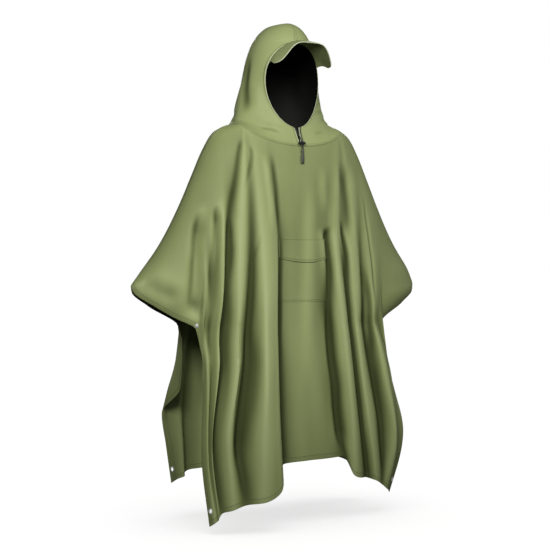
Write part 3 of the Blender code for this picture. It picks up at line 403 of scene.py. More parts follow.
class Board:
    """The nodes of one material round its Principled shader."""

    def __init__(self, name: str) -> None:
        """Starts a material of this name."""
        self.material = bpy.data.materials.new(name)
        self.material.use_nodes = True
        self.tree = self.material.node_tree
        self.shader = self.tree.nodes["Principled BSDF"]

    def add(self, kind: str, settings: dict[str, object] | None = None,
            sockets: dict[str | int, object] | None = None) -> Outputs:
        """Adds any node.

        Args:
            kind: The node's type name.
            settings: Properties set first.
            sockets: Values or wires for its inputs, by name or number.

        Returns:
            The node's outputs.
        """
        node = self.tree.nodes.new(kind)
        for key, value in (settings or {}).items():
            setattr(node, key, value)
        for key, value in (sockets or {}).items():
            self.feed(node.inputs[key], value)
        return Outputs(self, node)

    def feed(self, socket: bpy.types.NodeSocket, value: object) -> None:
        """Sets a socket, or links a wire to it."""
        if isinstance(value, Wire):
            self.tree.links.new(value.socket, socket)
        elif isinstance(value, tuple) and len(value) == 3 and socket.type == "RGBA":
            socket.default_value = (*value, 1.0)
        else:
            socket.default_value = value

    def number(self, operation: str, first: object, second: object) -> Wire:
        """One Math node."""
        return self.add("ShaderNodeMath", {"operation": operation}, {0: first, 1: second})["Value"]

    def blend(self, share: object, first: object, second: object) -> Wire:
        """Colour mixed from first to second."""
        return self.add("ShaderNodeMix", {"data_type": "RGBA"}, {0: share, 6: first, 7: second})[2]

    def place(self) -> Wire:
        """Object coordinates."""
        return self.add("ShaderNodeTexCoord")["Object"]

    def uv(self, name: str) -> tuple[Wire, Wire]:
        """The two numbers of a UV map.

        Args:
            name: The map's name.

        Returns:
            Both numbers.
        """
        both = self.add("ShaderNodeUVMap", {"uv_map": name})["UV"]
        parts = self.add("ShaderNodeSeparateXYZ", None, {0: both})
        return parts["X"], parts["Y"]

    def height(self, place: Wire) -> Wire:
        """Height of a place."""
        return self.add("ShaderNodeSeparateXYZ", None, {0: place})["Z"]

    def attribute(self, name: str) -> Wire:
        """A number kept at the mesh's points."""
        return self.add("ShaderNodeAttribute", {"attribute_name": name})["Fac"]

    def weave(self, yarn: float) -> Wire:
        """Plain weave: two sine waves across each other on the cloth's own map."""
        across, down = self.uv("cloth")
        return across.wave(yarn) * 0.5 + down.wave(yarn) * 0.5

    def noise(self, place: Wire, grain: Grain) -> Wire:
        """Noise between 0 and 1, drawn out along an axis whose factor is below 1.

        Args:
            place: Coordinates.
            grain: The pattern.

        Returns:
            The noise.
        """
        if grain.factors:
            place = self.add("ShaderNodeMapping", None,
                             {"Vector": place, "Scale": grain.factors})[0]
        return self.add("ShaderNodeTexNoise", None,
                        {"Vector": place, "Scale": grain.scale, "Detail": grain.detail,
                         "Roughness": NOISE_ROUGHNESS})["Fac"]

    def set(self, **values: object) -> None:
        """Feeds the shader's sockets, underscores standing for spaces."""
        for key, value in values.items():
            self.feed(self.shader.inputs[key.replace("_", " ")], value)

    def raise_by(self, height: Wire, distance: float, below: Wire | None = None) -> Wire:
        """Bump of a height times a distance, on top of another bump if one is given.

        Args:
            height: Height, in distances.
            distance: The distance, in metres.
            below: The other bump.

        Returns:
            The normal.
        """
        sockets = {"Height": height, "Distance": distance, "Strength": 1.0}
        if below is not None:
            sockets["Normal"] = below
        return self.add("ShaderNodeBump", None, sockets)["Normal"]


# ---------------------------------------------------------------- finishes
class Tones(NamedTuple):
    """How much of each tone is mixed into the coated cloth; the crest, deep, unlit and low shares
    are painted light and shade.
    """

    fine: float = 0.16
    inside: float = 0.75
    crest: float = 0.7
    deep: float = 0.95
    unlit: float = 0.85
    weave: float = 0.10
    hem: float = 0.16
    hem_groove: float = 0.22
    seam_groove: float = 0.12
    thread: float = 0.75
    low: float = 0.34
    edging: float = 0.9


class Heights(NamedTuple):
    """Shares of the two bumps' distances by which each feature of the cloth stands or sinks."""

    folds: float = 0.6
    fine: float = 0.16
    hem: float = 0.45
    hem_groove: float = 0.5
    seam_groove: float = 0.4
    thread: float = 0.35
    pucker: float = 0.5


class Matt(NamedTuple):
    """Roughness added by each feature of the cloth."""

    fine: float = 0.10
    mottle: float = 0.10
    inside: float = 0.16
    thread: float = 0.2
    deep: float = 0.30


@dataclass(frozen=True)
class CoatedCloth:
    """Satin coated plain weave, with a turned and stitched hem along its cut edges.

    Widths, places from an edge, hollows and heights are in metres.  A span is where a tone
    begins and where it is full.
    """

    name: str = "olive_coated_cloth"
    colour: Triple = (0.330, 0.384, 0.160)
    dusk: Triple = (0.296, 0.346, 0.138)
    # painted highlight: the tone mixed onto fold ridges
    crest: Triple = (0.385, 0.435, 0.200)
    # painted shade: the tone mixed into fold hollows and towards the hem
    deep: Triple = (0.030, 0.040, 0.008)
    inside: Triple = (0.310, 0.360, 0.150)
    unlit: Triple = (0.004, 0.005, 0.002)
    thread: Triple = (0.110, 0.130, 0.046)
    edging: Triple = (0.56, 0.61, 0.40)
    tones: Tones = Tones()
    heights: Heights = Heights()
    matt: Matt = Matt()
    roughness: float = 0.50
    specular: float = 0.20
    yarn: float = 0.0009
    mottling: Grain = Grain(5.0, 4.0, (1.0, 1.0, 0.45))
    fine_grain: Grain = Grain(38.0, 3.0, (1.0, 1.0, 0.7))
    worn_folds: Grain = Grain(14.0, 2.0, (1.6, 1.6, 0.3))
    puckers: Grain = Grain(70.0, 2.0, (1.0, 1.0, 0.35))
    mottle_span: Span = (0.34, 0.68)
    crest_span: Span = (0.0, 0.010)
    deep_span: Span = (-0.0045, 0.0080)
    unlit_span: Span = (0.010, 0.018)
    low_span: Span = (0.70, 1.25)
    stitch_span: Span = (0.30, 0.55)
    stitch_half: Span = (0.00035, 0.0005)
    hem_groove: Span = (0.0004, 0.0022)
    seam_groove: Span = (0.0004, 0.0020)
    pucker_place: float = 0.004
    pucker_half: Span = (0.004, 0.014)
    edging_width: float = 0.0
    edging_soft: float = 0.0004
    hem_width: float = 0.017
    hem_soft: float = 0.0012
    hem_stitch: float = 0.0145
    seam_stitch: float = 0.0042
    stitch_pitch: float = 0.0034
    quilting: float = 0.0
    quilt_rows: Span = (0.90, 0.99)
    quilt_start: Span = (0.008, 0.009)
    fold_bump: float = 0.0022
    sewn_bump: float = 0.0010
    weave_bump: float = 0.00006

    def material(self) -> Material:
        """Builds the material: weave, mottling, hem band, seam groove, two stitch lines, and
        painted light and shade on ridges, hollows, inner faces, edges and the lower part.
        """
        board = Board(self.name)
        place = board.place()
        mottle, fine, fold_worn, creping = (board.noise(place, grain) for grain in (
            self.mottling, self.fine_grain, self.worn_folds, self.puckers))
        inner, sunk = board.attribute("inside"), board.attribute("hollow")
        hem_along, hem_away = board.uv("hem")
        seam_along, seam_away = board.uv("seam")
        weave = board.weave(self.yarn)

        hem_band = 1 - hem_away.rise(self.hem_width - self.hem_soft, self.hem_width + self.hem_soft)
        stitching = board.number("MAXIMUM", self.stitches(hem_along, hem_away, self.hem_stitch),
                                 self.stitches(seam_along, seam_away, self.seam_stitch))
        if self.quilting:
            rows = hem_away.wave(self.quilting).rise(*self.quilt_rows)
            stitching = board.number("MAXIMUM", stitching, rows * hem_away.rise(*self.quilt_start)
                                     * self.dashes(hem_along))
        groove = hem_away.within(self.hem_stitch, *self.hem_groove)
        seam_groove = seam_away.within(self.seam_stitch, *self.seam_groove)
        pucker = seam_away.within(self.pucker_place, *self.pucker_half) * creping
        # painted shade in fold hollows, and on inner faces that their panel gives painted shade
        shaded = sunk.rise(*self.deep_span)
        # painted shade: darker towards the hem
        low = (0 - board.height(place)).rise(*self.low_span)

        tones = self.tones
        cloth = board.blend(mottle.rise(*self.mottle_span), self.dusk, self.colour)
        layers = [
            (fine * tones.fine, self.dusk),
            (inner * tones.inside, self.inside),
            # painted highlight on fold ridges, which stand above the broad form
            ((0 - sunk).rise(*self.crest_span) * tones.crest, self.crest),
            (shaded * tones.deep, self.deep),
            # painted shade: inner faces deep in painted shade go nearly black
            (inner * sunk.rise(*self.unlit_span) * tones.unlit, self.unlit),
            ((1 - weave) * tones.weave, self.thread),
            (hem_band * tones.hem, self.thread),
            (groove * tones.hem_groove + seam_groove * tones.seam_groove, self.thread),
            (stitching * tones.thread, self.thread),
            # painted shade on the outer face, darker towards the hem
            (low * (1 - inner) * tones.low, self.deep),
        ]
        # painted highlight along the bound face and peak edges
        if self.edging_width:
            edge = 1 - hem_away.rise(self.edging_width - self.edging_soft, self.edging_width)
            layers.append((edge * tones.edging, self.edging))
        for share, tone in layers:
            cloth = board.blend(share, cloth, tone)

        matt, heights = self.matt, self.heights
        rough = (self.roughness + (fine - 0.5) * matt.fine + (mottle - 0.5) * matt.mottle
                 + inner * matt.inside + stitching * matt.thread + shaded * matt.deep)
        creased = board.raise_by(fold_worn * heights.folds + fine * heights.fine, self.fold_bump)
        sewn = board.raise_by(hem_band * heights.hem - groove * heights.hem_groove
                              - seam_groove * heights.seam_groove + stitching * heights.thread
                              + pucker * heights.pucker, self.sewn_bump, creased)
        board.set(Base_Color=cloth, Roughness=rough, Specular_IOR_Level=self.specular,
                  Normal=board.raise_by(weave, self.weave_bump, sewn))
        return board.material

    def dashes(self, along: Wire) -> Wire:
        """Stitches and the spaces between them."""
        return along.wave(self.stitch_pitch).rise(*self.stitch_span)

    def stitches(self, along: Wire, away: Wire, line: float) -> Wire:
        """Short stitches on a line at this distance from the edge."""
        return self.dashes(along) * away.within(line, *self.stitch_half)


@dataclass(frozen=True)
class LiningCloth:
    """Matt black lining with a fine weave."""

    name: str = "black_lining_cloth"
    colour: Triple = (0.0022, 0.0030, 0.0018)
    pale: Triple = (0.012, 0.013, 0.009)
    roughness: float = 0.78
    rubbed_roughness: float = 0.2
    specular: float = 0.16
    yarn: float = 0.0012
    rubbing: Grain = Grain(9.0, 4.0)
    folds: Grain = Grain(22.0, 2.0, (1.0, 1.0, 0.4))
    rubbed_span: Span = (0.30, 0.75)
    rubbed_share: float = 0.3
    low_top: float = 0.20
    low_span: Span = (0.0, 0.18)
    low_share: float = 0.7
    fold_bump: float = 0.002
    weave_bump: float = 0.00008

    def material(self) -> Material:
        """Builds the material: near black, greyer where it is rubbed, with painted light low in the
        hood.
        """
        board = Board(self.name)
        place = board.place()
        rubbed = board.noise(place, self.rubbing)
        # painted light: the lining is paler low in the hood, towards the face opening
        low = (self.low_top - board.height(place)).rise(*self.low_span)
        pale = rubbed.rise(*self.rubbed_span) * self.rubbed_share + low * self.low_share
        folds = board.raise_by(board.noise(place, self.folds), self.fold_bump)
        board.set(Base_Color=board.blend(pale, self.colour, self.pale),
                  Roughness=self.roughness + (rubbed - 0.5) * self.rubbed_roughness,
                  Specular_IOR_Level=self.specular,
                  Normal=board.raise_by(board.weave(self.yarn), self.weave_bump, folds))
        return board.material


@dataclass(frozen=True)
class PlatedSteel:
    """Nickel plated snap and eyelet metal, brushed round by handling."""

    name: str = "nickel_plate"
    colour: Triple = (0.86, 0.86, 0.83)
    tarnish: Triple = (0.60, 0.60, 0.56)
    metallic: float = 0.55
    roughness: float = 0.34
    cloud_roughness: float = 0.14
    clouds: Grain = Grain(240.0, 3.0)
    scratches: Grain = Grain(900.0, 2.0, (1.0, 6.0, 1.0))
    tarnish_span: Span = (0.45, 0.8)
    scratch_bump: float = 0.00004

    def material(self) -> Material:
        """Builds the material: bright metal with faint tarnish and fine scratches."""
        board = Board(self.name)
        place = board.place()
        cloud = board.noise(place, self.clouds)
        board.set(Base_Color=board.blend(cloud.rise(*self.tarnish_span), self.colour, self.tarnish),
                  Metallic=self.metallic, Roughness=self.roughness + cloud * self.cloud_roughness,
                  Normal=board.raise_by(board.noise(place, self.scratches), self.scratch_bump))
        return board.material


@dataclass(frozen=True)
class Moulding:
    """Moulded plastic with a fine spark-eroded grain."""

    name: str
    colour: Triple
    worn: Triple
    roughness: float = 0.5
    worn_roughness: float = 0.15
    sparks: Grain = Grain(2200.0, 2.0)
    rubbing: Grain = Grain(160.0, 3.0)
    worn_span: Span = (0.5, 0.85)
    spark_bump: float = 0.00005

    def material(self) -> Material:
        """Builds the material: even colour, paler where it is rubbed, with a fine grain."""
        board = Board(self.name)
        place = board.place()
        rub = board.noise(place, self.rubbing)
        board.set(Base_Color=board.blend(rub.rise(*self.worn_span), self.colour, self.worn),
                  Roughness=self.roughness + (rub - 0.5) * self.worn_roughness,
                  Normal=board.raise_by(board.noise(place, self.sparks), self.spark_bump))
        return board.material


@dataclass(frozen=True)
class Braid:
    """Round braided cord: two sets of yarns that wind round it both ways."""

    name: str = "black_braid"
    colour: Triple = (0.014, 0.015, 0.012)
    ridge: Triple = (0.045, 0.046, 0.040)
    ridge_span: Span = (0.5, 1.0)
    yarns: float = 6.0
    pitch: float = 0.0052
    roughness: float = 0.86
    ridge_polish: float = 0.1
    yarn_bump: float = 0.0002

    def material(self) -> Material:
        """Builds the material from the cord's own map, (turn, length)."""
        board = Board(self.name)
        turn, length = board.uv("cloth")
        one_way = (turn * self.yarns + length / self.pitch).wave(1.0)
        other_way = (turn * self.yarns - length / self.pitch).wave(1.0)
        yarn = board.number("MAXIMUM", one_way, other_way)
        board.set(Base_Color=board.blend(yarn.rise(*self.ridge_span), self.colour, self.ridge),
                  Roughness=self.roughness - yarn * self.ridge_polish,
                  Normal=board.raise_by(yarn, self.yarn_bump))
        return board.material


@dataclass
class Wardrobe:
    """Every finish of the poncho, built once."""

    cloth: Material = field(default_factory=CoatedCloth().material)
    hood: Material = field(default_factory=CoatedCloth(
        name="olive_hood_cloth", edging_width=0.0030, hem_width=0.0090,
        hem_stitch=0.0072).material)
    peak: Material = field(default_factory=CoatedCloth(
        name="olive_peak_cloth", edging_width=0.0030, hem_width=0.0060, hem_stitch=0.0048,
        quilting=0.0062).material)
    lining: Material = field(default_factory=LiningCloth().material)
    metal: Material = field(default_factory=PlatedSteel().material)
    braid: Material = field(default_factory=Braid().material)
    lock: Material = field(default_factory=Moulding(
        "black_moulding", (0.012, 0.012, 0.011), (0.035, 0.035, 0.032), 0.45).material)
    grip: Material = field(default_factory=Moulding(
        "olive_grey_moulding", (0.048, 0.054, 0.032), (0.085, 0.092, 0.060), 0.5).material)


# ---------------------------------------------------------------- meshes
class Edges(NamedTuple):
    """Sewing map of a grid: run along the nearest edge and distance from it, twice."""

    hem: Array
    seam: Array


def plain_edges(shape: tuple[int, int]) -> Edges:
    """Sewing map of a piece with no hem and no seam: everything is far from an edge."""
    far = np.full((*shape, 2), 1.0)
    return Edges(far, far.copy())


def shell(name: str, outer: Array, inner: Array, finish: Material,
          edges: Edges | None = None, hollow: Array | None = None,
          hidden: Array | None = None) -> Piece:
    """Closed thin shell between two grids of the same size.

    Args:
        name: The object's name.
        outer: Outer points, rows by columns by 3.
        inner: Inner points of the same shape.
        finish: The material.
        edges: Sewing map of the grid, if it has hems or seams.
        hollow: How far each grid point lies down in a fold, in metres; the material paints shade
            from it, and highlight where it is below 0.
        hidden: The same for the inner points, the outer ones' turned about if not given.

    Returns:
        The object, with its cloth, hem and seam maps, its "inside" and its "hollow" attribute.
    """
    rows, columns = outer.shape[:2]
    count = rows * columns
    index = np.arange(count).reshape(rows, columns)
    quads = joined(index[:-1, :-1], index[1:, :-1], index[1:, 1:], index[:-1, 1:])
    quads = quads.reshape(-1, 4)
    rim = np.concatenate((index[0, :], index[1:, -1], index[-1, -2::-1], index[-2:0:-1, 0]))
    after = np.roll(rim, -1)
    band = joined(rim, after, after + count, rim + count)
    faces = np.concatenate((quads, quads[:, ::-1] + count, band))
    points = np.concatenate((outer.reshape(-1, 3), inner.reshape(-1, 3)))
    if solid_volume(points, faces) < 0:
        faces = faces[:, ::-1]
    mesh = bpy.data.meshes.new(name)
    mesh.vertices.add(len(points))
    mesh.vertices.foreach_set("co", points.ravel())
    mesh.loops.add(faces.size)
    mesh.loops.foreach_set("vertex_index", faces.ravel())
    mesh.polygons.add(len(faces))
    mesh.polygons.foreach_set("loop_start", np.arange(0, faces.size, 4))
    mesh.update(calc_edges=True)
    mesh.validate()
    edges = edges or plain_edges((rows, columns))
    across, down = run_lengths(outer, 1), run_lengths(outer, 0)
    cloth_map = joined(across - across[:, columns // 2:columns // 2 + 1], down)
    for map_name, values in (("cloth", cloth_map), ("hem", edges.hem), ("seam", edges.seam)):
        both = np.tile(values.reshape(-1, 2), (2, 1))
        mesh.uv_layers.new(name=map_name).data.foreach_set("uv", both[faces.ravel()].ravel())
    side = mesh.attributes.new("inside", "FLOAT", "POINT")
    side.data.foreach_set("value", np.repeat((0.0, 1.0), count))
    # without fold data the outer face gets a little painted light and the inner face painted shade
    sunk = np.full((rows, columns), PLAIN_HOLLOW) if hollow is None else hollow
    behind = -sunk if hidden is None else hidden
    folds = mesh.attributes.new("hollow", "FLOAT", "POINT")
    folds.data.foreach_set("value", np.concatenate((sunk.ravel(), behind.ravel())))
    return show(name, mesh, finish)


def solid_volume(points: Array, faces: Array) -> float:
    """Signed volume inside quads, below 0 where they face inwards."""
    a, b, c, d = (points[faces[:, k]] for k in range(4))
    return float(np.sum(np.einsum("ij,ij->i", a, np.cross(b, c) + np.cross(c, d)))) / 6


def placed(name: str, data: bpy.types.ID) -> Piece:
    """New object of the scene from a mesh, a light or a camera.

    Args:
        name: The object's name.
        data: What it shows.

    Returns:
        The object.
    """
    made = bpy.data.objects.new(name, data)
    bpy.context.scene.collection.objects.link(made)
    return made


def show(name: str, mesh: bpy.types.Mesh, finish: Material) -> Piece:
    """Object at the origin from a finished mesh, smooth apart from its sharp edges.

    Args:
        name: The object's name.
        mesh: Its mesh.
        finish: The material.

    Returns:
        The object.
    """
    mesh.materials.append(finish)
    mesh.shade_smooth()
    mesh.set_sharp_from_angle(angle=SHARP_ANGLE)
    return placed(name, mesh)


def from_shape(name: str, shape: bmesh.types.BMesh) -> bpy.types.Mesh:
    """Mesh of a finished shape, which is freed.

    Args:
        name: The mesh's name.
        shape: The shape.

    Returns:
        The mesh.
    """
    mesh = bpy.data.meshes.new(name)
    shape.to_mesh(mesh)
    shape.free()
    return mesh


def facing_out(name: str, points: Array, faces: Sequence[Sequence[int]],
               place: Matrix | None = None) -> bpy.types.Mesh:
    """Closed mesh with its doubled points welded and its faces turned outwards.

    Args:
        name: The mesh's name.
        points: Its points.
        faces: The points' numbers round each face.
        place: Where it is taken to, if it isn't there already.

    Returns:
        The mesh.
    """
    mesh = bpy.data.meshes.new(name)
    mesh.from_pydata(points.reshape(-1, 3).tolist(), [], faces)
    tidy = bmesh.new()
    tidy.from_mesh(mesh)
    bmesh.ops.remove_doubles(tidy, verts=tidy.verts, dist=1e-7)
    bmesh.ops.recalc_face_normals(tidy, faces=tidy.faces)
    if place is not None:
        bmesh.ops.transform(tidy, matrix=place, verts=tidy.verts)
    tidy.to_mesh(mesh)
    tidy.free()
    return mesh


def dress(piece: Piece, slot: str, *nodes: str) -> Piece:
    """Hands a piece to the frame: it rides on the one body and stands for the nodes.

    Args:
        piece: The piece.
        slot: Its material slot; not used.
        nodes: Names of the nodes that it replaces.

    Returns:
        The piece.
    """
    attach(piece, BODY)
    if nodes:
        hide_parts(*nodes)
    LOG.info("%s: %d faces", piece.name, len(piece.data.polygons) if piece.type == "MESH" else 0)
    return piece


def turned(name: str, profile: Array, sides: int, finish: Material,
           frame_matrix: Matrix, closed: bool) -> Piece:
    """Solid turned about an axis: each profile point (r, z) goes round as (r cos a, r sin a, z).

    Args:
        name: The object's name.
        profile: Points (radius, height); a closed ring's profile joins its ends.
        sides: Steps round.
        finish: The material.
        frame_matrix: Takes the axis to where the piece lies.
        closed: Whether the profile closes on itself, as an eyelet's does.

    Returns:
        The object, its place in its mesh.
    """
    angles = np.arange(sides) * math.tau / sides
    count = len(profile)
    points = joined(profile[None, :, 0] * np.cos(angles)[:, None],
                    profile[None, :, 0] * np.sin(angles)[:, None],
                    np.repeat(profile[None, :, 1], sides, axis=0))
    index = np.arange(sides * count).reshape(sides, count)
    after = np.roll(index, -1, axis=0)
    if closed:
        quads = joined(index, after, np.roll(after, -1, axis=1), np.roll(index, -1, axis=1))
    else:
        quads = joined(index[:, :-1], after[:, :-1], after[:, 1:], index[:, 1:])
    mesh = facing_out(name, points, quads.reshape(-1, 4).tolist(), frame_matrix)
    return show(name, mesh, finish)


def frame_at(point: Array, normal: Array) -> Matrix:
    """Matrix that takes +Z to a normal at a point."""
    turn = Vector(normal).to_track_quat("Z", "X")
    return Matrix.Translation(Vector(point)) @ turn.to_matrix().to_4x4()


# ---------------------------------------------------------------- the cut of the panels
class ArmPoint(NamedTuple):
    """Half width of the over-arm line at a height."""

    height: float
    half_width: float


class Depth(NamedTuple):
    """Depth of the centre in front of the shoulder plane, and behind it."""

    height: float
    front: float
    back: float


class Edge(NamedTuple):
    """Half width of the section and its depth there, and the cloth's own edge."""

    height: float
    widest: float
    side_depth: float
    edge_x: float
    edge_depth: float


class Fold(NamedTuple):
    """A main fold from the top line to the hem: its x and its swing outwards at four levels."""

    place: float
    chest_x: float
    waist_x: float
    low_x: float
    hem_x: float
    chest: float
    waist: float
    low: float
    hem: float
    hem_height: float


SHOULDER_POINTS = (
    ArmPoint(0.000, 0.190), ArmPoint(-0.010, 0.222), ArmPoint(-0.028, 0.250),
    ArmPoint(-0.079, 0.284), ArmPoint(-0.173, 0.328), ArmPoint(-0.270, 0.373),
)
ARM_LINES = {
    Hand.RIGHT: SHOULDER_POINTS + (ArmPoint(-0.370, 0.427), ArmPoint(-0.425, 0.464),
                                   ArmPoint(-0.475, 0.504), ArmPoint(WING_TIP_HEIGHT, 0.545)),
    Hand.LEFT: SHOULDER_POINTS + (ArmPoint(-0.370, 0.425), ArmPoint(-0.425, 0.463),
                                  ArmPoint(-0.475, 0.501), ArmPoint(WING_TIP_HEIGHT, 0.530)),
}
CENTRE_DEPTH = (
    Depth(0.00, 0.112, 0.125), Depth(-0.07, 0.120, 0.140), Depth(-0.20, 0.135, 0.150),
    Depth(-0.41, 0.150, 0.152), Depth(-0.65, 0.160, 0.155), Depth(-0.90, 0.175, 0.165),
    Depth(-1.27, 0.200, 0.180),
)
FRONT_RIGHT_EDGE = (
    Edge(WING_TIP_HEIGHT, 0.545, 0.000, 0.545, 0.000),
    Edge(-0.545, 0.538, 0.008, 0.538, 0.008),
    Edge(-0.59, 0.480, 0.042, 0.480, 0.042),
    Edge(-0.625, 0.424, 0.066, 0.424, 0.062),
    Edge(SNAP_HEIGHT, 0.366, 0.094, 0.364, 0.084),
    Edge(-0.70, 0.352, 0.112, 0.358, 0.100),
    Edge(-0.77, 0.346, 0.142, 0.353, 0.120),
    Edge(-1.05, 0.352, 0.160, 0.366, 0.134),
    Edge(-1.27, 0.350, 0.206, 0.361, 0.182),
)
FRONT_LEFT_EDGE = (
    Edge(WING_TIP_HEIGHT, 0.530, 0.000, 0.530, 0.000),
    Edge(-0.545, 0.525, 0.010, 0.525, 0.010),
    Edge(-0.59, 0.460, 0.040, 0.458, 0.040),
    Edge(SNAP_HEIGHT, 0.340, 0.090, 0.342, 0.080),
    Edge(-0.85, 0.340, 0.146, 0.357, 0.128),
    Edge(-1.02, 0.362, 0.172, 0.383, 0.156),
    Edge(-1.27, 0.326, 0.134, 0.344, 0.112),
)
BACK_RIGHT_EDGE = (
    Edge(WING_TIP_HEIGHT, 0.545, 0.000, 0.545, 0.000),
    Edge(-0.545, 0.539, 0.006, 0.539, 0.006),
    Edge(-0.59, 0.476, 0.026, 0.472, 0.024),
    Edge(SNAP_HEIGHT, 0.356, 0.078, 0.352, 0.046),
    Edge(-0.77, 0.346, 0.120, 0.344, 0.052),
    Edge(-0.86, 0.344, 0.152, 0.346, 0.062),
    Edge(-0.95, 0.342, 0.180, 0.366, 0.160),
    Edge(-1.05, 0.330, 0.166, 0.356, 0.150),
    Edge(-1.27, 0.302, 0.150, 0.330, 0.132),
)
BACK_LEFT_EDGE = (
    Edge(WING_TIP_HEIGHT, 0.530, 0.000, 0.530, 0.000),
    Edge(-0.545, 0.525, 0.008, 0.525, 0.008),
    Edge(-0.59, 0.450, 0.034, 0.444, 0.030),
    Edge(-0.64, 0.356, 0.078, 0.350, 0.050),
    Edge(-0.70, 0.346, 0.094, 0.343, 0.056),
    Edge(-0.82, 0.342, 0.120, 0.344, 0.066),
    Edge(-1.00, 0.352, 0.124, 0.364, 0.084),
    Edge(-1.27, 0.352, 0.112, 0.374, 0.082),
)
FRONT_RIGHT_FOLDS = (
    Fold(0.000, 0.000, 0.000, 0.000, 0.000, 0.000, 0.000, 0.000, 0.000, -1.085),
    Fold(0.214, 0.095, 0.106, 0.108, 0.106, -0.004, -0.016, -0.014, -0.010, -1.092),
    Fold(0.250, 0.108, 0.127, 0.142, 0.147, 0.008, 0.036, 0.058, 0.072, -1.160),
    Fold(0.321, 0.154, 0.174, 0.196, 0.204, 0.020, 0.052, 0.070, 0.080, -1.186),
    Fold(0.393, 0.190, 0.210, 0.254, 0.262, -0.003, -0.028, -0.016, 0.040, -1.197),
    Fold(0.440, 0.222, 0.256, 0.299, 0.300, 0.010, 0.026, 0.038, 0.046, -1.206),
    Fold(0.500, 0.257, 0.289, 0.330, 0.328, -0.016, -0.036, -0.022, 0.010, -1.219),
    Fold(0.600, 0.288, 0.318, 0.347, 0.342, 0.006, 0.014, 0.012, 0.012, -1.234),
    Fold(0.700, 0.317, 0.336, 0.350, 0.346, -0.014, -0.012, -0.004, 0.004, -1.244),
    Fold(0.800, 0.348, 0.351, 0.356, 0.355, 0.002, 0.004, 0.003, 0.002, -1.250),
    Fold(1.000, 0.356, 0.360, 0.360, 0.360, 0.000, 0.000, 0.000, 0.000, -1.262),
)
FRONT_LEFT_FOLDS = (
    Fold(0.000, 0.000, 0.000, 0.000, 0.000, 0.000, 0.000, 0.000, 0.000, -1.085),
    Fold(0.214, 0.088, 0.102, 0.121, 0.141, -0.001, -0.026, -0.028, -0.022, -1.086),
    Fold(0.250, 0.100, 0.122, 0.141, 0.150, 0.002, 0.002, 0.004, 0.010, -1.139),
    Fold(0.286, 0.117, 0.141, 0.156, 0.162, 0.006, 0.020, 0.022, 0.020, -1.150),
    Fold(0.357, 0.155, 0.188, 0.210, 0.230, -0.010, -0.026, -0.026, -0.024, -1.163),
    Fold(0.429, 0.192, 0.205, 0.228, 0.250, 0.001, 0.004, 0.010, 0.016, -1.172),
    Fold(0.550, 0.234, 0.259, 0.292, 0.286, -0.014, -0.034, -0.030, 0.002, -1.190),
    Fold(0.700, 0.272, 0.307, 0.330, 0.310, 0.006, 0.018, 0.016, 0.008, -1.208),
    Fold(0.800, 0.312, 0.340, 0.343, 0.328, -0.004, -0.004, -0.004, -0.002, -1.216),
    Fold(1.000, 0.340, 0.360, 0.354, 0.344, 0.000, 0.000, 0.000, 0.000, -1.230),
)
BACK_RIGHT_FOLDS = (
    Fold(0.000, 0.000, 0.000, 0.000, 0.000, 0.000, 0.006, 0.010, 0.012, -1.075),
    Fold(0.214, 0.080, 0.088, 0.092, 0.094, -0.006, -0.016, -0.020, -0.022, -1.085),
    Fold(0.357, 0.140, 0.152, 0.159, 0.164, 0.006, 0.020, 0.028, 0.034, -1.112),
    Fold(0.500, 0.206, 0.208, 0.213, 0.216, -0.008, -0.020, -0.022, -0.024, -1.136),
    Fold(0.625, 0.262, 0.262, 0.262, 0.262, 0.004, 0.014, 0.021, 0.026, -1.152),
    Fold(0.720, 0.310, 0.306, 0.294, 0.286, -0.008, -0.012, -0.010, -0.008, -1.164),
    Fold(0.800, 0.342, 0.344, 0.320, 0.304, 0.000, 0.000, 0.002, 0.004, -1.170),
    Fold(1.000, 0.346, 0.356, 0.342, 0.332, 0.000, 0.000, 0.000, 0.000, -1.178),
)
BACK_LEFT_FOLDS = (
    Fold(0.000, 0.000, 0.000, 0.000, 0.000, 0.000, 0.006, 0.010, 0.012, -1.075),
    Fold(0.214, 0.074, 0.080, 0.090, 0.096, -0.004, -0.012, -0.017, -0.020, -1.086),
    Fold(0.357, 0.150, 0.160, 0.172, 0.180, 0.008, 0.022, 0.027, 0.030, -1.104),
    Fold(0.500, 0.212, 0.216, 0.228, 0.236, -0.010, -0.022, -0.024, -0.026, -1.122),
    Fold(0.625, 0.256, 0.262, 0.276, 0.286, 0.004, 0.016, 0.020, 0.022, -1.134),
    Fold(0.720, 0.304, 0.308, 0.316, 0.322, -0.008, -0.012, -0.010, -0.008, -1.146),
    Fold(0.800, 0.336, 0.344, 0.348, 0.350, 0.000, 0.000, 0.002, 0.004, -1.162),
    Fold(1.000, 0.340, 0.360, 0.367, 0.372, 0.000, 0.000, 0.000, 0.000, -1.196),
)
LEVELS = (0.0, 0.3, 0.6, 0.84, 1.0)


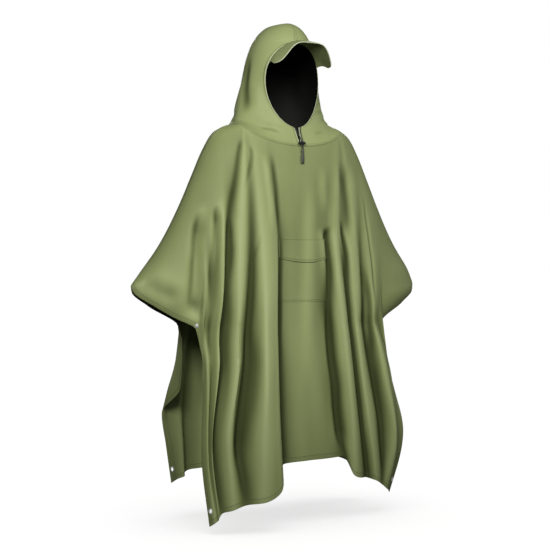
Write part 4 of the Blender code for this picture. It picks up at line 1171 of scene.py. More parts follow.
@dataclass(frozen=True)
class PanelHalf:
    """One half of a panel: a plain oval section from the edge table, with folds riding on it."""

    facing: Facing
    hand: Hand
    edges: tuple[Edge, ...]
    folds: tuple[Fold, ...]
    neck_half_width: float = NECK_HALF_WIDTH
    neck_front_drop: float = 0.070
    neck_drop_power: float = 1.2
    neck_place: float = 0.5
    section_powers: Span = (2.2, 0.5)
    opened_powers: Span = (0.8, 0.4)
    opening: Span = (0.44, 0.66)
    level_place: float = 0.214
    level_fade: float = 0.1
    level_start: Span = (0.0, 0.2)
    level_end: Span = (0.55, 0.9)
    edge_places: Span = (0.70, 1.0)
    strip_start: Span = (0.10, 0.28)
    turn_place: float = 0.80
    ridge_width: float = 1.35

    def half_width(self, height: Array) -> Array:
        """Half width of the level section: the over-arm line, then the widest point below it."""
        above = read(ARM_LINES[self.hand], "half_width", height)
        return np.where(height > WING_TIP_HEIGHT, above, read(self.edges, "widest", height))

    def base_depth(self, x: Array, height: Array) -> Array:
        """Depth of the plain section: side + (centre - side) (1 - (x / half width)^p)^q.

        Both powers grow as the section opens below the wing tip.

        Args:
            x: Distance from the centre plane.
            height: Height of the point.

        Returns:
            Depth in front of the shoulder plane, or behind it.
        """
        centre = read(CENTRE_DEPTH, self.facing.name.lower(), height)
        side = np.where(height > WING_TIP_HEIGHT, 0.0, read(self.edges, "side_depth", height))
        across = np.clip(x / self.half_width(height), 0.0, 1.0)
        opened = ease(-height, *self.opening)
        inner, outer = (plain + more * opened for plain, more in
                        zip(self.section_powers, self.opened_powers))
        return side + (centre - side) * (1 - across ** inner) ** outer

    def neck_point(self, angle: Array) -> tuple[Array, Array, Array]:
        """Neck seam (x, depth, height) from the centre line (0) to the side of the neck.

        Args:
            angle: 0 at the centre line, half pi at the side.

        Returns:
            x, depth and height.
        """
        x = self.neck_half_width * np.sin(angle)
        drop = self.neck_front_drop if self.facing is Facing.FRONT else 0.0
        height = -drop * np.clip(np.cos(angle), 0.0, 1.0) ** self.neck_drop_power
        return x, self.base_depth(x, height), height

    def top_line(self, place: Array) -> tuple[Array, Array, Array]:
        """Neck seam, then the over-arm line out to the wing tip.

        Args:
            place: 0 at the centre line, 1 at the wing tip.

        Returns:
            x, depth and height.
        """
        angle = np.clip(place / self.neck_place, 0.0, 1.0) * 0.5 * math.pi
        neck = self.neck_point(angle)
        heights = column(ARM_LINES[self.hand], "height")
        widths = column(ARM_LINES[self.hand], "half_width")
        lengths = np.concatenate(([0.0], np.cumsum(np.hypot(np.diff(heights), np.diff(widths)))))
        along = np.clip((place - self.neck_place) / (1 - self.neck_place), 0.0, 1.0) * lengths[-1]
        past = place > self.neck_place
        return (np.where(past, smooth_through(lengths, widths, along), neck[0]),
                np.where(past, 0.0, neck[1]),
                np.where(past, smooth_through(lengths, heights, along), neck[2]))

    def relief(self, places: Array, rows: Array) -> Array:
        """Swing of the folds: a half cosine from each ridge to the next valley, ridges broader.

        Args:
            places: 0 at the centre line, 1 at the wing tip.
            rows: 0 at the top line, 1 at the hem.

        Returns:
            Swing outwards, rows by places.
        """
        fold_places = column(self.folds, "place")
        levels = np.array([np.zeros(len(self.folds))]
                          + [column(self.folds, name) for name in ("chest", "waist", "low", "hem")])
        by_row = np.array([smooth_through(LEVELS, levels[:, k], rows)
                           for k in range(len(self.folds))]).T
        span = np.clip(np.searchsorted(fold_places, places, side="right") - 1,
                       0, len(self.folds) - 2)
        u = (places - fold_places[span]) / (fold_places[span + 1] - fold_places[span])
        start, end = by_row[:, span], by_row[:, span + 1]
        from_ridge = np.where(end < start, u, 1 - u) ** self.ridge_width
        ridge, valley = np.maximum(start, end), np.minimum(start, end)
        return ridge + (valley - ridge) * (0.5 - 0.5 * np.cos(np.pi * from_ridge))

    def points(self, places: Array, rows: Array) -> Array:
        """World points of this half.

        Args:
            places: 0 at the centre line, 0.5 at the side of the neck, 1 at the wing tip.
            rows: 0 at the top line, 1 at the hem.

        Returns:
            Grid of points, rows by places by 3.
        """
        top_x, top_depth, top_height = self.top_line(places)
        hem_height = read(self.folds, "hem_height", places, by="place")
        down = rows[:, None]
        height = top_height + (hem_height - top_height) * down
        level = 1 - ease(places, self.level_place, self.level_place + self.level_fade)
        level = level * (ease(down, *self.level_start) * (1 - ease(down, *self.level_end)))
        height = height + (height[:, :1] - height) * level

        level_x = [top_x] + [read(self.folds, name, places, by="place")
                             for name in ("chest_x", "waist_x", "low_x", "hem_x")]
        x = np.array([smooth_through(LEVELS, across, rows) for across in np.array(level_x).T]).T
        edge_height = height[:, -1]
        edge_x = np.where(edge_height > WING_TIP_HEIGHT, top_x[-1],
                          read(self.edges, "edge_x", edge_height))
        x = x + (edge_x - x[:, -1])[:, None] * ease(places, *self.edge_places)
        depth = self.base_depth(x, height) + self.relief(places, rows)
        depth[0] = top_depth
        x, depth, height = self.edge_strip(places, rows, x, depth, height)
        y = self.facing.value * np.maximum(depth, SEAM_GAP / 2)
        return joined(self.hand.value * x, y, height)

    def edge_strip(self, places: Array, rows: Array,
                   *parts: Array) -> tuple[Array, ...]:
        """x, depth and height with the strip beside the side edge drawn straight by its hem.

        Args:
            places: 0 at the centre line, 1 at the wing tip.
            rows: 0 at the top line, 1 at the hem.
            parts: x, depth and height.

        Returns:
            The three with the strip straight.
        """
        x, depth, height = parts
        edge_depth = read(self.edges, "edge_depth", height[:, -1])
        straight = ease(rows[:, None], *self.strip_start)
        depth[:, -1:] += (edge_depth[:, None] - depth[:, -1:]) * straight
        turn = int(np.argmin(np.abs(places - self.turn_place)))
        share = np.clip((places - places[turn]) / (1 - places[turn]), 0.0, 1.0)
        share_of = straight * (places > places[turn])
        return tuple(part + (part[:, turn:turn + 1] * (1 - share) + part[:, -1:] * share - part)
                     * share_of for part in (x, depth, height))


def neck_directions(points: Array, lean_front: float = 6.0,
                    lean_side: float = 30.0) -> tuple[Array, Array]:
    """Directions at neck seam points.

    Args:
        points: Points of the seam.
        lean_front: Degrees by which the cloth falls away from level in the centre plane.
        lean_side: Degrees added to that at the side of the neck.

    Returns:
        The way into the cloth, and the way from panel to hood across it.
    """
    outward = unit(points * (1.0, 1.0, 0.0))
    share = np.abs(points[:, :1]) / NECK_HALF_WIDTH
    lean = np.radians(lean_front + lean_side * share ** 2)
    up = np.array((0.0, 0.0, 1.0))
    return (-(outward * np.cos(lean) + up * np.sin(lean)),
            -outward * np.sin(lean) + up * np.cos(lean))


# ---------------------------------------------------------------- fittings set in the cloth
class Site(NamedTuple):
    """Where a fitting sits: the cloth's middle, its normal, and how far it swells both ways."""

    point: Array
    normal: Array
    top: float
    bottom: float


@dataclass(frozen=True)
class Eyelet:
    """Rolled eyelet: a barrel through the cloth with a domed flange on each face."""

    hole: float = 0.0062
    barrel: float = 0.0072
    flange: float = 0.0091
    thickness: float = 0.0007
    inset: float = 0.017
    rise: float = 0.036
    dome_power: float = 0.7
    dome_steps: int = 12
    punch_depth: float = 0.012
    sides: int = 64

    def build(self, name: str, site: Site, finish: Material) -> Piece:
        """Turns the ring: its section is a half round flange, the barrel, and a half round again.

        Args:
            name: The piece's name.
            site: Where it sits.
            finish: The metal.

        Returns:
            The ring.
        """
        top, bottom = site.top + SEAM_GAP / 2, site.bottom - SEAM_GAP / 2
        turn = np.linspace(0.0, math.pi, self.dome_steps + 1)
        middle, reach = (self.hole + self.flange) / 2, (self.flange - self.hole) / 2
        dome = joined(middle + reach * np.cos(turn),
                      self.thickness * np.sin(turn) ** self.dome_power)
        over = dome + (0.0, top)
        under = dome[::-1] * (1.0, -1.0) + (0.0, bottom)
        outside = np.array(((self.barrel, bottom), (self.barrel, top)))
        profile = np.concatenate((over, under, outside))
        return turned(name, profile, self.sides, finish, frame_at(site.point, site.normal), True)

    def punch(self, site: Site) -> Piece:
        """Cutter for the barrel's hole in the cloth.

        Args:
            site: Where the eyelet sits.

        Returns:
            The cutter.
        """
        shape = bmesh.new()
        radius = self.barrel + SEAM_GAP / 2
        bmesh.ops.create_cone(shape, cap_ends=True, segments=self.sides, depth=self.punch_depth,
                              radius1=radius, radius2=radius,
                              matrix=frame_at(site.point, site.normal))
        return placed("punch", from_shape("punch", shape))


@dataclass(frozen=True)
class SnapCap:
    """Domed snap cap with a rolled rim and a shallow ring round its crown.

    The rim, the groove and the crown are given as shares of the radius and of the height.
    """

    radius: float = 0.0060
    height: float = 0.0022
    inset: float = 0.012
    rim: Span = (0.90, 0.28)
    rim_roll: Span = (0.10, 0.26)
    groove: tuple[Span, Span] = ((0.82, 0.46), (0.80, 0.52))
    crown: float = 0.78
    crown_fall: float = 0.30
    rim_steps: int = 8
    crown_steps: int = 15
    sides: int = 56

    def build(self, name: str, site: Site, finish: Material) -> Piece:
        """Turns the cap: rim, groove, then a crown that falls with the square of its radius.

        Args:
            name: The piece's name.
            site: Where it sits.
            finish: The metal.

        Returns:
            The cap.
        """
        base = site.top + SEAM_GAP / 2
        rolled = np.linspace(-0.5 * math.pi, 0.5 * math.pi, self.rim_steps + 1)
        rim = joined(self.radius * self.rim[0] + self.radius * self.rim_roll[0] * np.cos(rolled),
                     self.height * (self.rim[1] + self.rim_roll[1] * np.sin(rolled)))
        radii = np.linspace(self.crown, 0.0, self.crown_steps + 1) * self.radius
        fall = self.crown_fall * (radii / (self.crown * self.radius)) ** 2
        crown = joined(radii, self.height * (1 - fall))
        groove = np.array(self.groove) * (self.radius, self.height)
        profile = np.concatenate((((0.0, 0.0),), rim, groove, crown)) + (0.0, base)
        return turned(name, profile, self.sides, finish, frame_at(site.point, site.normal), False)


def cut_away(piece: Piece, cutters: Sequence[Piece]) -> None:
    """Takes each cutter's space out of a piece for good, and removes the cutters.

    Args:
        piece: The piece.
        cutters: Closed meshes.
    """
    for cutter in cutters:
        cut = piece.modifiers.new(cutter.name, "BOOLEAN")
        cut.operation = "DIFFERENCE"
        cut.object = cutter
        cut.solver = "MANIFOLD"
    bpy.context.view_layer.update()
    whole = piece.evaluated_get(bpy.context.evaluated_depsgraph_get())
    mesh = bpy.data.meshes.new_from_object(whole)
    piece.modifiers.clear()
    piece.data = mesh
    mesh.set_sharp_from_angle(angle=SHARP_ANGLE)
    for cutter in cutters:
        bpy.data.objects.remove(cutter, do_unlink=True)


# ---------------------------------------------------------------- panels
@dataclass
class Panel:
    """Front or back panel: the two halves joined, creased, hemmed and fitted.

    The inner face gets painted shade above a line that climbs away from the side edge, shade_slant
    times as fast as the distance from the edge grows, apart from a lit strip along the edge itself.
    """

    facing: Facing
    right: PanelHalf
    left: PanelHalf
    creases: tuple[Crease, ...]
    flat: tuple[float, float]
    area: float
    neck_steps: int = 70
    arm_steps: int = 60
    row_steps: int = 170
    thickness: float = 0.0012
    rounding: int = 5
    turn_rounding: int = 60
    turn_reach: float = 5.0
    seam_reach: float = 0.05
    sideways_push: float = 0.3
    shade_top: float = -0.84
    shade_bottom: float = -0.96
    shade_slant: float = 3.1
    slant_start: float = 0.05
    slant_width: float = 0.20
    lit_strip: Span = (0.03, 0.06)
    inner_shade: float = 0.018
    inner_hollow: float = 0.3
    edge_columns: float = 40.0
    patch_rows: float = 3.0
    patch_columns: float = 9.0
    patch_margin: float = 1.15
    patch_points: tuple[int, int] = (61, 91)
    line_density: int = 20
    eyelet: Eyelet = field(default_factory=Eyelet)
    snap: SnapCap = field(default_factory=SnapCap)
    outer: Array = field(init=False)
    inner: Array = field(init=False)
    normals: Array = field(init=False)
    hollow: Array = field(init=False)

    def __post_init__(self) -> None:
        """Works out the panel's grids."""
        rows = np.linspace(0.0, 1.0, self.row_steps + 1)
        places = np.concatenate((np.linspace(0.0, 0.5, self.neck_steps + 1),
                                 np.linspace(0.5, 1.0, self.arm_steps + 1)[1:]))
        halves = [half.points(places, rows) for half in (self.right, self.left)]
        grid = np.concatenate((halves[0][:, ::-1], halves[1][:, 1:]), axis=1)
        free = np.broadcast_to(ease(rows, 0.0, self.seam_reach)[:, None], grid.shape[:2]).copy()
        grid = softened(grid, self.rounding, free)
        columns = np.arange(grid.shape[1])
        turn = round(self.arm_steps * 2 * (1 - self.right.turn_place))
        from_turn = np.minimum(np.abs(columns - turn), np.abs(columns[::-1] - turn))
        at_turn = np.exp(-(from_turn / self.turn_reach) ** 2)
        grid = softened(grid, self.turn_rounding, free * at_turn)
        lift = crease_lift(grid, self.creases, (0, 2)) * free
        push = self.outward(grid) * (self.sideways_push, 1.0, self.sideways_push)
        self.outer = beyond_seam(grid + push * lift[..., None], 1, self.facing.value)
        self.normals = self.outward(self.outer)
        # depth under the broad form; the cloth's material paints shade in the folds and light on
        # the ridges from it
        self.hollow = hollows(self.outer, self.normals)
        across = unit(softened(self.normals, self.rounding, free))
        self.inner = beyond_seam(self.outer - across * self.thickness, 1, self.facing.value)

    def outward(self, grid: Array) -> Array:
        """Outward normals: square to the shoulder plane at the seam and to the neck seam.

        Args:
            grid: Points of the piece, rows by columns by 3.

        Returns:
            Normals of the same shape.
        """
        normals = grid_normals(grid, 1, self.facing.value)
        normals[0, :self.arm_steps, 1] = 0.0
        normals[0, -self.arm_steps:, 1] = 0.0
        normals[0] = unit(normals[0])
        neck = slice(self.arm_steps, grid.shape[1] - self.arm_steps)
        normals[0, neck] = -neck_directions(grid[0, neck])[0]
        return normals

    def edges(self) -> Edges:
        """Sewing map: the hem runs down both sides and along the bottom, the seam along the top."""
        across, down = run_lengths(self.outer, 1), run_lengths(self.outer, 0)
        away = np.stack((across, across[:, -1:] - across, down[-1:] - down))
        along = np.where(np.argmin(away, axis=0) == 2, across, down)
        return Edges(joined(along, away.min(axis=0)), joined(across, down))

    def site(self, hand: Hand, height: float, inset: float, radius: float) -> Site:
        """Where a fitting sits beside a side edge.

        Args:
            hand: Which side edge.
            height: The height of the place on the edge.
            inset: Distance in from the edge along the cloth.
            radius: Radius of what sits there.

        Returns:
            The site on the cloth's middle, with the cloth's swell under the fitting.
        """
        turn = slice(None) if hand is Hand.RIGHT else slice(None, None, -1)
        outer, inner = self.outer[:, turn], self.inner[:, turn]
        row = float(np.interp(-height, -outer[:, 0, 2], np.arange(len(outer))))
        cols = np.linspace(0.0, self.edge_columns, round(self.edge_columns * self.line_density) + 1)
        line = on_grid(outer, np.full(cols.shape, row), cols)
        col = float(np.interp(inset, line_lengths(line), cols))
        down, across = self.patch_points
        rows = row + np.linspace(-self.patch_rows, self.patch_rows, down)
        cols = col + np.linspace(-self.patch_columns, self.patch_columns, across)
        near = np.meshgrid(rows, np.clip(cols, 0.0, None), indexing="ij")
        point = on_grid(outer, np.array(row), np.array(col))
        patches = [on_grid(layer, *near).reshape(-1, 3) for layer in (outer, inner)]
        inside = [points[np.linalg.norm(points - point, axis=1) < self.patch_margin * radius]
                  for points in patches]
        normal = np.linalg.svd(inside[0] - inside[0].mean(axis=0), full_matrices=False)[2][2]
        middle = (point + on_grid(inner, np.array(row), np.array(col))) / 2
        if np.dot(normal, point - middle) < 0:
            normal = -normal
        return Site(middle, normal, float(np.max((inside[0] - middle) @ normal)),
                    float(np.min((inside[1] - middle) @ normal)))

    def build(self, wardrobe: Wardrobe) -> None:
        """Makes the panel, its snaps and its eyelets.

        Args:
            wardrobe: The finishes.
        """
        name = self.facing.name.lower()
        edges = self.edges()
        # painted shade on the inner face, handed to the material as its hollow values
        from_edge = np.clip(edges.hem[..., 1] - self.slant_start, 0.0, self.slant_width)
        shade = (ease(self.outer[..., 2] - self.shade_slant * from_edge, self.shade_bottom,
                      self.shade_top) * ease(edges.hem[..., 1], *self.lit_strip))
        panel = shell(f"{name}_panel_cloth", self.outer, self.inner, wardrobe.cloth, edges,
                      self.hollow, self.inner_shade * shade - self.inner_hollow * self.hollow)
        cutters = []
        for hand, corner in ((Hand.RIGHT, self.outer[-1, 0]), (Hand.LEFT, self.outer[-1, -1])):
            site = self.site(hand, SNAP_HEIGHT, self.snap.inset, self.snap.radius)
            cap = self.snap.build(f"{name}_snap_cap_{hand.word}", site, wardrobe.metal)
            dress(cap, "snap_metal", f"{name}_snap_{hand.word}")
            site = self.site(hand, float(corner[2]) + self.eyelet.rise, self.eyelet.inset,
                             self.eyelet.flange)
            ring = self.eyelet.build(f"{name}_eyelet_ring_{hand.word}", site, wardrobe.metal)
            dress(ring, "snap_metal", f"{name}_eyelet_{hand.word}")
            cutters.append(self.eyelet.punch(site))
        cut_away(panel, cutters)
        dress(panel, "olive_cloth", f"{name}_panel")


# ---------------------------------------------------------------- pocket
@dataclass
class ChestPocket:
    """Patch pocket on the front panel, and the flap that hangs over its mouth."""

    front: Panel
    reach: int = 30
    top: float = 0.30
    bottom: float = 0.50
    flap_side: float = 0.30
    flap_middle: float = 0.375
    thickness: float = 0.0011
    billow: float = 0.0022
    billow_power: float = 0.7
    turned_in: float = 0.0010
    turned_in_reach: float = 0.10
    flap_lift: float = 0.0030
    flap_wave: tuple[float, float, float, float] = (0.55, 0.45, 3.3, 0.6)
    flap_hem: float = 0.008
    columns: int = 120
    rows: int = 84

    def patch(self, down: Array, across: Array) -> tuple[Array, Array, Array]:
        """Panel points, normals and hollow at shares of its height and of the pocket's width.

        Args:
            down: Shares of the panel's height.
            across: Places across, -1 to 1.

        Returns:
            Points, normals and hollow.
        """
        front = self.front
        row = down * front.row_steps
        col = front.outer.shape[1] // 2 + across * self.reach
        return (on_grid(front.outer, row, col), unit(on_grid(front.normals, row, col)),
                on_grid(front.hollow[..., None], row, col)[..., 0])

    def build(self, wardrobe: Wardrobe) -> None:
        """Makes the pocket, swollen by cos(pi w / 2) sin(pi v)^p, and the flap over its mouth.

        The flap lies on the pocket and lifts with the square of the distance to its free edge,
        in a slow wave a + b cos(c w + d), where w is the place across, -1 to 1.

        Args:
            wardrobe: The finishes.
        """
        across = np.linspace(-1.0, 1.0, self.columns + 1)[None, :]
        share = np.linspace(0.0, 1.0, self.rows + 1)[:, None]
        shape = (self.rows + 1, self.columns + 1)
        down = np.broadcast_to(self.top + (self.bottom - self.top) * share, shape)
        wide = np.broadcast_to(across, shape)
        cloth, out, hollow = self.patch(down, wide)
        swell = self.billow * (np.cos(0.5 * np.pi * wide)
                               * np.sin(np.pi * share) ** self.billow_power)
        turned_in = self.turned_in * (ease(1 - np.abs(wide), 0.0, self.turned_in_reach) - 1)
        base = cloth + out * (SEAM_GAP + swell)[..., None]
        face = base + out * (self.thickness + turned_in)[..., None]
        pocket = shell("chest_pocket", face, base, wardrobe.cloth, self.edges(face, sewn=True),
                       hollow)
        dress(pocket, "olive_cloth", "pocket")

        fall = self.flap_side + (self.flap_middle - self.flap_side) * (1 - wide ** 2)
        cloth, out, hollow = self.patch(self.top + (self.bottom - self.top) * share * fall, wide)
        mouth = np.sin(np.pi * np.clip(share * fall, 0.0, 1.0)) ** self.billow_power
        level, swing, pitch, phase = self.flap_wave
        lift = (SEAM_GAP * 2 + self.thickness + self.billow * np.cos(0.5 * np.pi * wide) * mouth
                + self.flap_lift * share ** 2 * (level + swing * np.cos(pitch * wide + phase)))
        base = cloth + out * lift[..., None]
        face = base + out * self.thickness
        flap = shell("chest_pocket_flap", face, base, wardrobe.cloth, self.edges(face, sewn=False),
                     hollow)
        dress(flap, "olive_cloth", "pocket_flap")

    def edges(self, face: Array, sewn: bool) -> Edges:
        """Sewing map: a stitch line close to the sewn edges, and a hem along the free one.

        Args:
            face: Outer points.
            sewn: Whether both sides and the bottom are sewn down.

        Returns:
            The map.
        """
        across, down = run_lengths(face, 1), run_lengths(face, 0)
        sides = np.minimum(across, across[:, -1:] - across)
        below = down[-1:] - down
        if sewn:
            return Edges(joined(across, down), joined(across, below))
        near_side = sides < below
        hem = joined(np.where(near_side, down, across),
                     np.minimum(sides, below) + self.flap_hem)
        return Edges(hem, joined(across, down))


# ---------------------------------------------------------------- hood
class HoodSection(NamedTuple):
    """A level of the hood: height of its side, half width, depth of its side, and its back."""

    side_height: float
    half_width: float
    side_depth: float
    back_depth: float
    back_height: float


HOOD_SECTIONS = (
    HoodSection(0.000, 0.190, 0.000, -0.125, 0.000),
    HoodSection(0.018, 0.173, -0.008, -0.142, 0.022),
    HoodSection(0.042, 0.161, -0.014, -0.152, 0.048),
    HoodSection(0.072, 0.151, -0.017, -0.156, 0.080),
    HoodSection(0.106, 0.143, -0.016, -0.154, 0.114),
    HoodSection(0.142, 0.135, -0.012, -0.150, 0.150),
    HoodSection(0.178, 0.127, -0.008, -0.145, 0.186),
    HoodSection(0.212, 0.119, -0.004, -0.138, 0.220),
    HoodSection(0.244, 0.109, -0.002, -0.128, 0.252),
    HoodSection(0.270, 0.099, -0.002, -0.117, 0.276),
    HoodSection(0.293, 0.086, -0.003, -0.103, 0.296),
    HoodSection(0.314, 0.069, -0.004, -0.086, 0.313),
    HoodSection(0.331, 0.045, -0.004, -0.066, 0.327),
    HoodSection(0.341, 0.000, 0.000, -0.044, 0.336),
)
HOOD_CREASES = {
    Hand.RIGHT: (
        Crease((0.020, 0.240), (0.010, 0.130), (-0.032, 0.022), 0.024, -0.0090, 0.30, 0.30),
        Crease((-0.040, 0.150), (-0.046, 0.090), (-0.058, 0.040), 0.018, 0.0024),
        Crease((-0.030, -0.010), (0.005, 0.008), (0.050, 0.020), 0.010, -0.0032),
        Crease((0.030, 0.240), (0.070, 0.160), (0.085, 0.070), 0.032, -0.0050),
        Crease((0.010, 0.020), (0.060, 0.040), (0.110, 0.035), 0.014, -0.0034),
    ),
    Hand.LEFT: (
        Crease((-0.075, 0.245), (-0.048, 0.170), (-0.034, 0.075), 0.028, -0.0050),
        Crease((-0.072, 0.014), (-0.030, 0.030), (0.014, 0.040), 0.009, -0.0028),
        Crease((-0.080, 0.045), (-0.045, 0.050), (-0.010, 0.075), 0.008, -0.0022),
        Crease((-0.020, -0.005), (0.015, 0.012), (0.062, 0.018), 0.011, -0.0030),
        Crease((0.040, 0.230), (0.074, 0.150), (0.080, 0.060), 0.030, -0.0046),
        Crease((0.020, 0.030), (0.070, 0.046), (0.118, 0.030), 0.013, -0.0030),
    ),
}
CHIN_CREASES = {
    Hand.RIGHT: (
        Crease((-0.132, -0.013), (-0.096, -0.018), (-0.056, -0.028), 0.0065, -0.0034, 0.35, 0.30),
        Crease((-0.142, 0.006), (-0.110, 0.001), (-0.076, -0.008), 0.0075, -0.0030),
        Crease((-0.120, -0.028), (-0.090, -0.034), (-0.058, -0.040), 0.0060, 0.0016),
    ),
    Hand.LEFT: (
        Crease((0.060, -0.030), (0.092, -0.022), (0.122, -0.014), 0.0070, -0.0022),
    ),
}


@dataclass
class Hood:
    """Two-piece hood with its black lining, rows from the neck up and columns from face to back."""

    cut: PanelHalf
    back_cut: PanelHalf
    face_centre: float = 0.128
    face_half_height: float = 0.138
    face_half_width: float = 0.100
    face_egg: float = 0.12
    face_side_depth: float = 0.067
    face_end_depth: float = 0.094
    slit_rows: int = 2
    face_rows: int = 7
    slit_top: float = 0.008
    slit_bottom: float = 0.0012
    crown_depth: float = 0.034
    crown_height: float = 0.339
    thickness: float = 0.0012
    lining_thickness: float = 0.0009
    lining_setback: float = 0.004
    lining_ease: float = 0.04
    lining_lift: float = 0.1
    row_density: int = 10
    column_steps: int = 42
    neck_reach: float = 6.0
    seam_reach: float = 5.0
    rim_width: float = 0.0085
    rim_soft: float = 0.002
    rim_rise: float = 0.0008
    plain_hollow: float = 1.6
    broad_hollow: float = 0.85
    fine_hollow: float = 1.3

    @property
    def brow(self) -> int:
        """The row where the face edge ends and the seam over the crown begins."""
        return (self.slit_rows + self.face_rows) * self.row_density

    def face_edge(self, turn: Array) -> Array:
        """Face edge (x, depth, height): an egg, r sin t (1 - e cos t) wide, from chin to brow.

        Args:
            turn: Angle t from the chin (0) to the brow (pi).

        Returns:
            Points.
        """
        x = self.face_half_width * np.sin(turn) * (1 - self.face_egg * np.cos(turn))
        height = self.face_centre - self.face_half_height * np.cos(turn)
        depth = (self.face_side_depth
                 + (self.face_end_depth - self.face_side_depth) * np.cos(turn) ** 2)
        return joined(x, depth, height)

    def front_edge(self, rows: Array) -> Array:
        """Front of each level: the chin slit, then the face edge, then the arc to the crown.

        Args:
            rows: Levels, counted from the neck seam.

        Returns:
            Points.
        """
        _, chin_depth, chin_height = self.cut.neck_point(np.array(0.0))
        chin = np.array((self.slit_bottom, float(chin_depth), float(chin_height)))
        slit_top = np.array((self.slit_top, self.face_end_depth,
                             self.face_centre - self.face_half_height))
        slit = chin + (slit_top - chin) * np.clip(rows / self.slit_rows, 0.0, 1.0)[:, None]
        turn = np.clip((rows - self.slit_rows) / self.face_rows, 0.0, 1.0) * math.pi
        face = self.face_edge(turn)
        face[:, 0] = np.hypot(face[:, 0], self.slit_top * np.cos(turn / 2))
        lined = self.slit_rows + self.face_rows
        rise = np.clip((rows - lined) / (len(HOOD_SECTIONS) - 1 - lined), 0.0, 1.0) * math.pi / 2
        top = self.face_edge(np.array(math.pi))
        seam = joined(np.zeros_like(rows),
                      self.crown_depth + (top[1] - self.crown_depth) * np.cos(rise),
                      top[2] + (self.crown_height - top[2]) * np.sin(rise))
        edge = np.where((rows < self.slit_rows)[:, None], slit,
                        np.where((rows > lined)[:, None], seam, face))
        edge[:, 0] = np.maximum(edge[:, 0], SEAM_GAP / 2)
        return edge

    def half(self, hand: Hand) -> Array:
        """Outer points of one half.

        A level's front runs from the face edge to the side as (w cos a, d + reach sin a), its
        height rising with sin^2 a, and its back runs on to the centre seam the same way.

        Args:
            hand: Which half.

        Returns:
            Grid of points.
        """
        count = len(HOOD_SECTIONS) - 1
        rows = np.linspace(0.0, count, count * self.row_density + 1)
        edge = self.front_edge(rows)
        side_height, half_width, side_depth, back_depth, back_height = (
            smooth_through(np.arange(count + 1), column(HOOD_SECTIONS, name), rows)[:, None]
            for name in HoodSection._fields)
        width = np.maximum(np.maximum(half_width, edge[:, :1] * 1.0001), SEAM_GAP / 2)
        start = np.arccos(np.minimum(1.0, edge[:, :1] / width))
        share = np.linspace(1.0, 0.0, self.column_steps + 1)[None, :]
        ratio = np.sin(start * share) / np.maximum(np.sin(start), 1e-6)
        front = joined(width * np.cos(start * share),
                       side_depth + (edge[:, 1:2] - side_depth) * ratio,
                       side_height + (edge[:, 2:] - side_height) * ratio ** 2)
        quarter = np.linspace(0.0, math.pi / 2, self.column_steps + 1)[None, 1:]
        back = joined(width * np.cos(quarter),
                      side_depth + (back_depth - side_depth) * np.sin(quarter),
                      side_height + (back_height - side_height) * np.sin(quarter) ** 2)
        grid = np.concatenate((front, back), axis=1)
        around = np.linspace(0.0, math.pi / 2, self.column_steps + 1)
        front_neck = np.stack(self.cut.neck_point(around), axis=-1)
        back_neck = np.stack(self.back_cut.neck_point(around[::-1]), axis=-1) * (1.0, -1.0, 1.0)
        seated = np.concatenate((front_neck, back_neck[1:]))
        seated[0, 0] = self.slit_bottom
        follow = (1 - ease(rows, 0.0, 1.0))[:, None, None]
        grid += (seated - grid[:1]) * follow
        grid[..., 0] = np.maximum(grid[..., 0], SEAM_GAP / 2)
        return joined(hand.value * grid[..., 0], -grid[..., 1], grid[..., 2])

    def outward(self, grid: Array, hand: Hand) -> Array:
        """Outward normals, lying in the centre plane along the centre seam.

        Args:
            grid: Points of the piece, rows by columns by 3.
            hand: Which half.

        Returns:
            Normals of the same shape.
        """
        normals = grid_normals(grid, 0, hand.value)
        first = self.brow
        line = np.concatenate((grid[first:-1, 0], grid[-1, :-1], grid[::-1, -1]))
        along = np.gradient(line[:, 1:], axis=0)
        square = unit(joined(np.zeros(len(line)), along[:, 1], -along[:, 0]))
        away = np.sum(square * (line - (0.0, 0.0, self.face_centre)), axis=1, keepdims=True)
        square = square * np.sign(away)
        rising, over = len(grid) - 1 - first, grid.shape[1] - 1
        normals[first:-1, 0] = square[:rising]
        normals[-1, :-1] = square[rising:rising + over]
        normals[::-1, -1] = square[rising + over:]
        normals[0] = -neck_directions(grid[0])[0]
        normals[0, -1, 0] = 0.0
        return normals

    def edges(self, grid: Array) -> Edges:
        """Sewing map: the hem round the face, and the seams at the neck and over the crown.

        Args:
            grid: Points of the piece, rows by columns by 3.

        Returns:
            The map.
        """
        across, down = run_lengths(grid, 1), run_lengths(grid, 0)
        first = self.brow
        rows = np.arange(len(grid))[:, None]
        face = np.where(rows <= first, across, across + (down - down[first:first + 1]))
        seam_back = across[:, -1:] - across
        seam_front = np.where(rows >= first, across, across + (down[first:first + 1] - down))
        away = np.stack((down, seam_back, seam_front, down[-1:] - down))
        which = np.argmin(away, axis=0)
        along = np.where(which == 0, across, down)
        return Edges(joined(down, face), joined(along, away.min(axis=0)))
    def build(self, wardrobe: Wardrobe) -> None:
        """Makes both halves and their linings.

        Args:
            wardrobe: The finishes.
        """
        for hand in Hand:
            grid = self.half(hand)
            free = (ease(np.arange(len(grid)), 0.0, self.neck_reach)[:, None]
                    * ease(np.arange(grid.shape[1])[::-1], 0.0, self.seam_reach)[None, :])
            broad = crease_lift(grid, HOOD_CREASES[hand], (1, 2)) * free
            fine = crease_lift(grid, CHIN_CREASES[hand], (0, 2)) * free
            edges = self.edges(grid)
            rim = 1 - ease(edges.hem[..., 1], self.rim_width, self.rim_width + self.rim_soft)
            rim *= (np.arange(len(grid)) < self.brow - 2)[:, None]
            lift = broad + fine + self.rim_rise * rim
            grid = grid + self.outward(grid, hand) * lift[..., None]
            grid[0] += neck_directions(grid[0])[1] * SEAM_GAP
            outer = beyond_seam(grid, 0, hand.value)
            normals = self.outward(outer, hand)
            inner = beyond_seam(outer - normals * self.thickness, 0, hand.value)
            # painted shade in the hood's creases; the plain share gives the rest of its face a
            # little painted light
            hollow = (PLAIN_HOLLOW * self.plain_hollow - self.broad_hollow * broad
                      - self.fine_hollow * fine)
